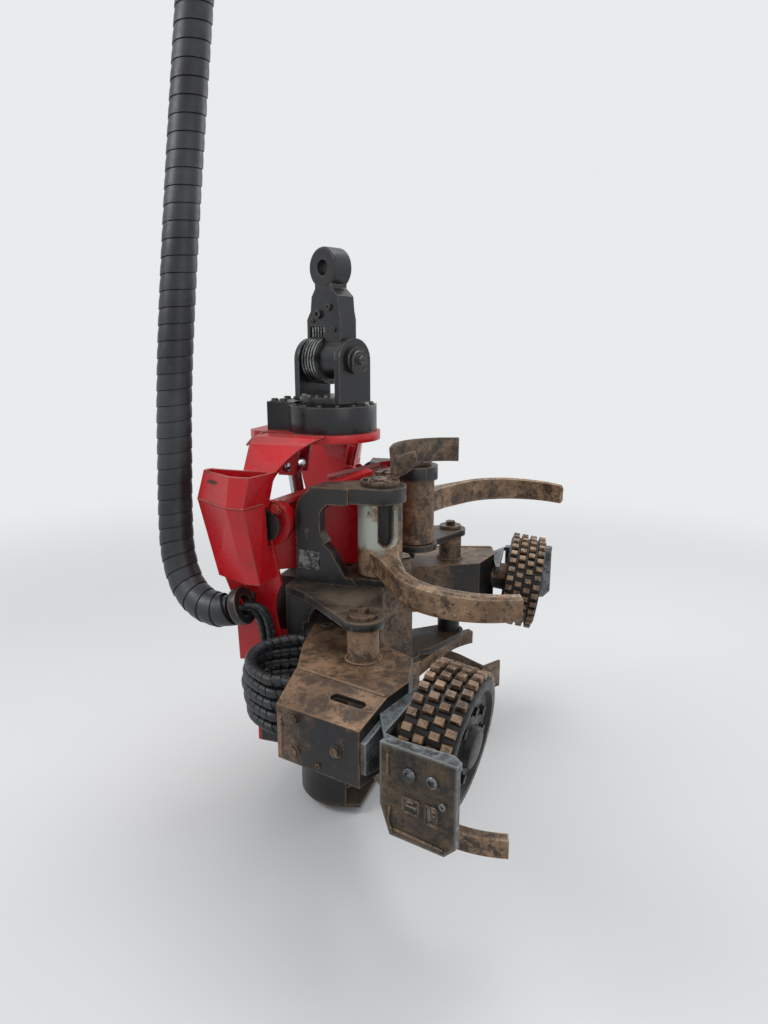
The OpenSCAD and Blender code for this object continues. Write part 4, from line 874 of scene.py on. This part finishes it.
def toothed_roller(side):
    """Roller as a function of turn a and place x on the axle: rows of teeth rise from the root to the
    tip as trapezoids in both, each row half a tooth on; below them a rim, a dished end and a bore."""
    share = (np.arange(TEETH)[:, None] + np.array([0, 0.06, 0.12, 0.18, 0.5, 0.56, 0.62, 0.68])).ravel()
    a = share[None, :, None] * 2 * np.pi / TEETH
    flat = np.zeros(len(share))
    rows = [(68, 0, flat), (68, 47, flat), (-28, 47, flat), (-30, 118, flat), (-86, 125, flat),
            (-86, 168, flat), (-83, ROOT_R, flat)]
    for i, x in enumerate(TOOTH_ROWS):
        turn = (share + i % 2 / 2) % 1
        tooth = np.interp(turn, [0, 0.12, 0.56, 0.68, 1], [0, 1, 1, 0, 0]) * (TIP_R - ROOT_R)
        rows += [(x, ROOT_R, flat), (x + TOOTH_SLOPE, ROOT_R, tooth),
                 (x + TOOTH_W - TOOTH_SLOPE, ROOT_R, tooth), (x + TOOTH_W, ROOT_R, flat)]
    rows += [(57, ROOT_R, flat), (60, 172, flat), (60, 150, flat), (48, 144, flat), (46, 82, flat),
             (52, 58, flat), (70, 54, flat), (73, 48, flat), (73, 0, flat)]
    place = np.array([x for x, _, _ in rows])
    radius = np.array([r + lift for _, r, lift in rows])
    middle, axle, up, forward = axle_frame(side)
    out = np.cos(a) * up + np.sin(a) * forward
    verts = middle + (radius[..., None] * out + place[:, None, None] * axle) / 1000
    return verts.reshape(-1, 3), grid_faces(len(rows), len(share))


teeth, add, out = start_material("feed_roller_cast_steel")
tip, _, tip_height = bare_steel(add, out, "#6E5340", "#A08468", "#2E231B", "#A0947F", gloss=0.38,
                                pale_share=0.3, edge_mm=4)
spot = near_and_far(add, out)[0]
from_axle = off_axis(add, spot, tuple(roller_middle * [1, -1, 1]), tuple(AXLE * [1, -1, 1]))
mottle = add(NOISE, out["Object"], spots(10), 6.0, 0.7)
proud = add(PLUS, from_axle, add(TIMES, mottle, 0.012), use_clamp=True)
# Sides and roots of the teeth, nearer the axle than their tips, are coloured near-black; only the tips show
# steel.
gap = add(BLEND, add(STEP, mottle, 0.4, 0.7), "#0E0C0B", "#201915")
colour = add(BLEND, add(STEP, proud, 0.186, 0.194), gap, tip)
surface(add, colour, add(STEP, mottle, 0.3, 0.7, 0.3, 0.55), 0.25, tip_height, 0.9)
for side, name in SIDES:
    middle, axle, up, forward = axle_frame(side)
    parts = [toothed_roller(side)]
    for a in np.radians(np.arange(0, 360, 45)):
        spot = middle + axle * HUB_FACE + HUB_BOLT_R * (math.cos(a) * up + math.sin(a) * forward)
        parts.append(turned_part(HEX_BOLT, spot, axle, 0.024))
    add_piece("toothed_roller_" + name, parts, "roller_" + name, teeth, "feed_roller_" + name)

# Roller guards: folded plate on the arm's end, blue-grey where bark rubs it, dark and rusty on its
# outer face, with a bright rim. Two bosses, and rims round its sight holes, stand on the face.
FACE_Y = -308
RIM_Y = -309
BOSS = [(-0.1, 0, 0), (-0.1, 1.0, 0), (0.3, 1.0, 0), (0.4, 0.92, 0), (0.4, 0.6, 0), (0.12, 0.5, 0),
        (0.12, 0, 0)]
RIMS = [[(292, 604), (288, 560), (300, 532)],
        [(330, 605), (372, 605), (372, 641), (330, 641), (330, 605)],
        [(391, 595), (421, 595), (421, 641), (391, 641), (391, 595)],
        [(300, 545), (440, 540)], [(285, 680), (285, 742)]]
guard, add, out = start_material("roller_guard_plate")
skin, skin_rough, _ = bare_steel(add, out, "#4B5157", "#7C8387", "#2A2724", "#8F8F88", gloss=0.38,
                                 pale_share=0.3, edge_mm=10)
rust, _, rust_height = bare_steel(add, out, "#2E2824", "#54432F", "#171412", "#7C766A", gloss=0.42,
                                  pale_share=0.25, edge_mm=10)
turned = near_and_far(add, out)[1]
up = add(SPLIT, turned).node.outputs["Z"]
facing = add(DOT, turned, (math.sin(ARM_OPEN), math.cos(ARM_OPEN), 0.0))
colour = add(BLEND, add(STEP, facing, 0.75, 0.95), skin, rust)
rim = add(TIMES, edge_wear(add, 14), add(STEP, up, -0.5, 0.6, 0.28, 0.8))
colour = add(BLEND, rim, colour, "#8E9492")
surface(add, colour, skin_rough, 0.35, rust_height, 0.8)
dress(guard, "roller_guard_near", "roller_guard_far", bevel_mm=5)
for side, name in SIDES:
    front = arm_front * [1, side, 1]
    parts = [turned_part(rows, at_arm((x, FACE_Y, z), side), front, size) for rows, x, z, size in (
        (BOSS, 346, 705, 0.034), (BOSS, 407, 706, 0.030), (SOCKET_SCREW, 436, 655, 0.018))]
    add_piece("guard_bosses_" + name, parts, "feed_arm_" + name, steel)
    parts = [weld_bead(at_arm([(x, RIM_Y, z) for x, z in points], side), 0.004) for points in RIMS]
    add_piece("guard_rims_" + name, parts, "feed_arm_" + name, pin_steel)

# Floor and light: a pale studio floor of matt paint that turns into an even pale glow far away, soft
# lamps from the left, the right, above and behind, and a pale world. Only the camera and reflections
# see the glow and the world at full strength.
FLOOR_HALF = 14
SKY = "#E9EBED"
corners = np.array([(-1, -1, 0), (1, -1, 0), (1, 1, 0), (-1, 1, 0)]) * FLOOR_HALF + [0, 0, FLOOR_Z]
ground = make_mesh("studio_floor", [(corners, [[0, 1, 2, 3]])], smooth=False)
floor_paint, add, out = start_material("studio_floor_paint")
shade = add(BLEND, add(NOISE, out["Object"], spots(900), 2.0, 0.6), "#D6D7D8", "#DADBDC")
matt = add("BsdfPrincipled", Base_Color=shade, Roughness=0.8)
glow = add("Emission", Color=SKY, Strength=1.0)
away = add("VectorMath.LENGTH", add("VectorMath.MULTIPLY", out["Object"], (1, 1, 0)))
rays = add("LightPath").node.outputs
seen = add(PLUS, rays["Is Camera Ray"], rays["Is Glossy Ray"], use_clamp=True)
far_off = add(TIMES, add(STEP, away, 1.5, 6.0), seen)
add("OutputMaterial", add("MixShader", far_off, matt, glow))
ground.data.materials.append(floor_paint)

world = bpy.data.worlds.new("studio")
world.use_nodes = True
bpy.context.scene.world = world
world.node_tree.nodes.clear()
add = partial(add_node, world.node_tree)
rays = add("LightPath").node.outputs
seen = add(PLUS, rays["Is Camera Ray"], rays["Is Glossy Ray"], use_clamp=True)
seen = add(PLUS, seen, rays["Is Transmission Ray"], use_clamp=True)
strength = add("MapRange", seen, To_Min=0.75, To_Max=1.0)
add("OutputWorld", add("Background", Color=SKY, Strength=strength))

for name, place, size, power, aim in (
        ("key_softbox", (-2.6, -2.2, 1.8), 2.0, 62, (0, -0.1, -1.0)),
        ("fill_softbox", (2.8, -2.4, 0.6), 2.2, 16, (0.2, -0.2, -1.1)),
        ("top_softbox", (0.6, 0.4, 2.6), 2.4, 60, (0.1, 0, -1.0)),
        ("rim_softbox", (1.8, 3.0, 0.8), 2.0, 30, (0.1, 0, -0.9))):
    lamp = bpy.data.objects.new(name, bpy.data.lights.new(name, "AREA"))
    lamp.data.size = size
    lamp.data.energy = power
    lamp.location = place
    x, y, z = np.array(aim) - np.array(place)
    lamp.rotation_euler = (math.atan2(math.hypot(x, y), -z), 0.0, math.atan2(y, x) - math.pi / 2)
    bpy.context.scene.collection.objects.link(lamp)

bpy.context.scene.view_settings.view_transform = "Standard"
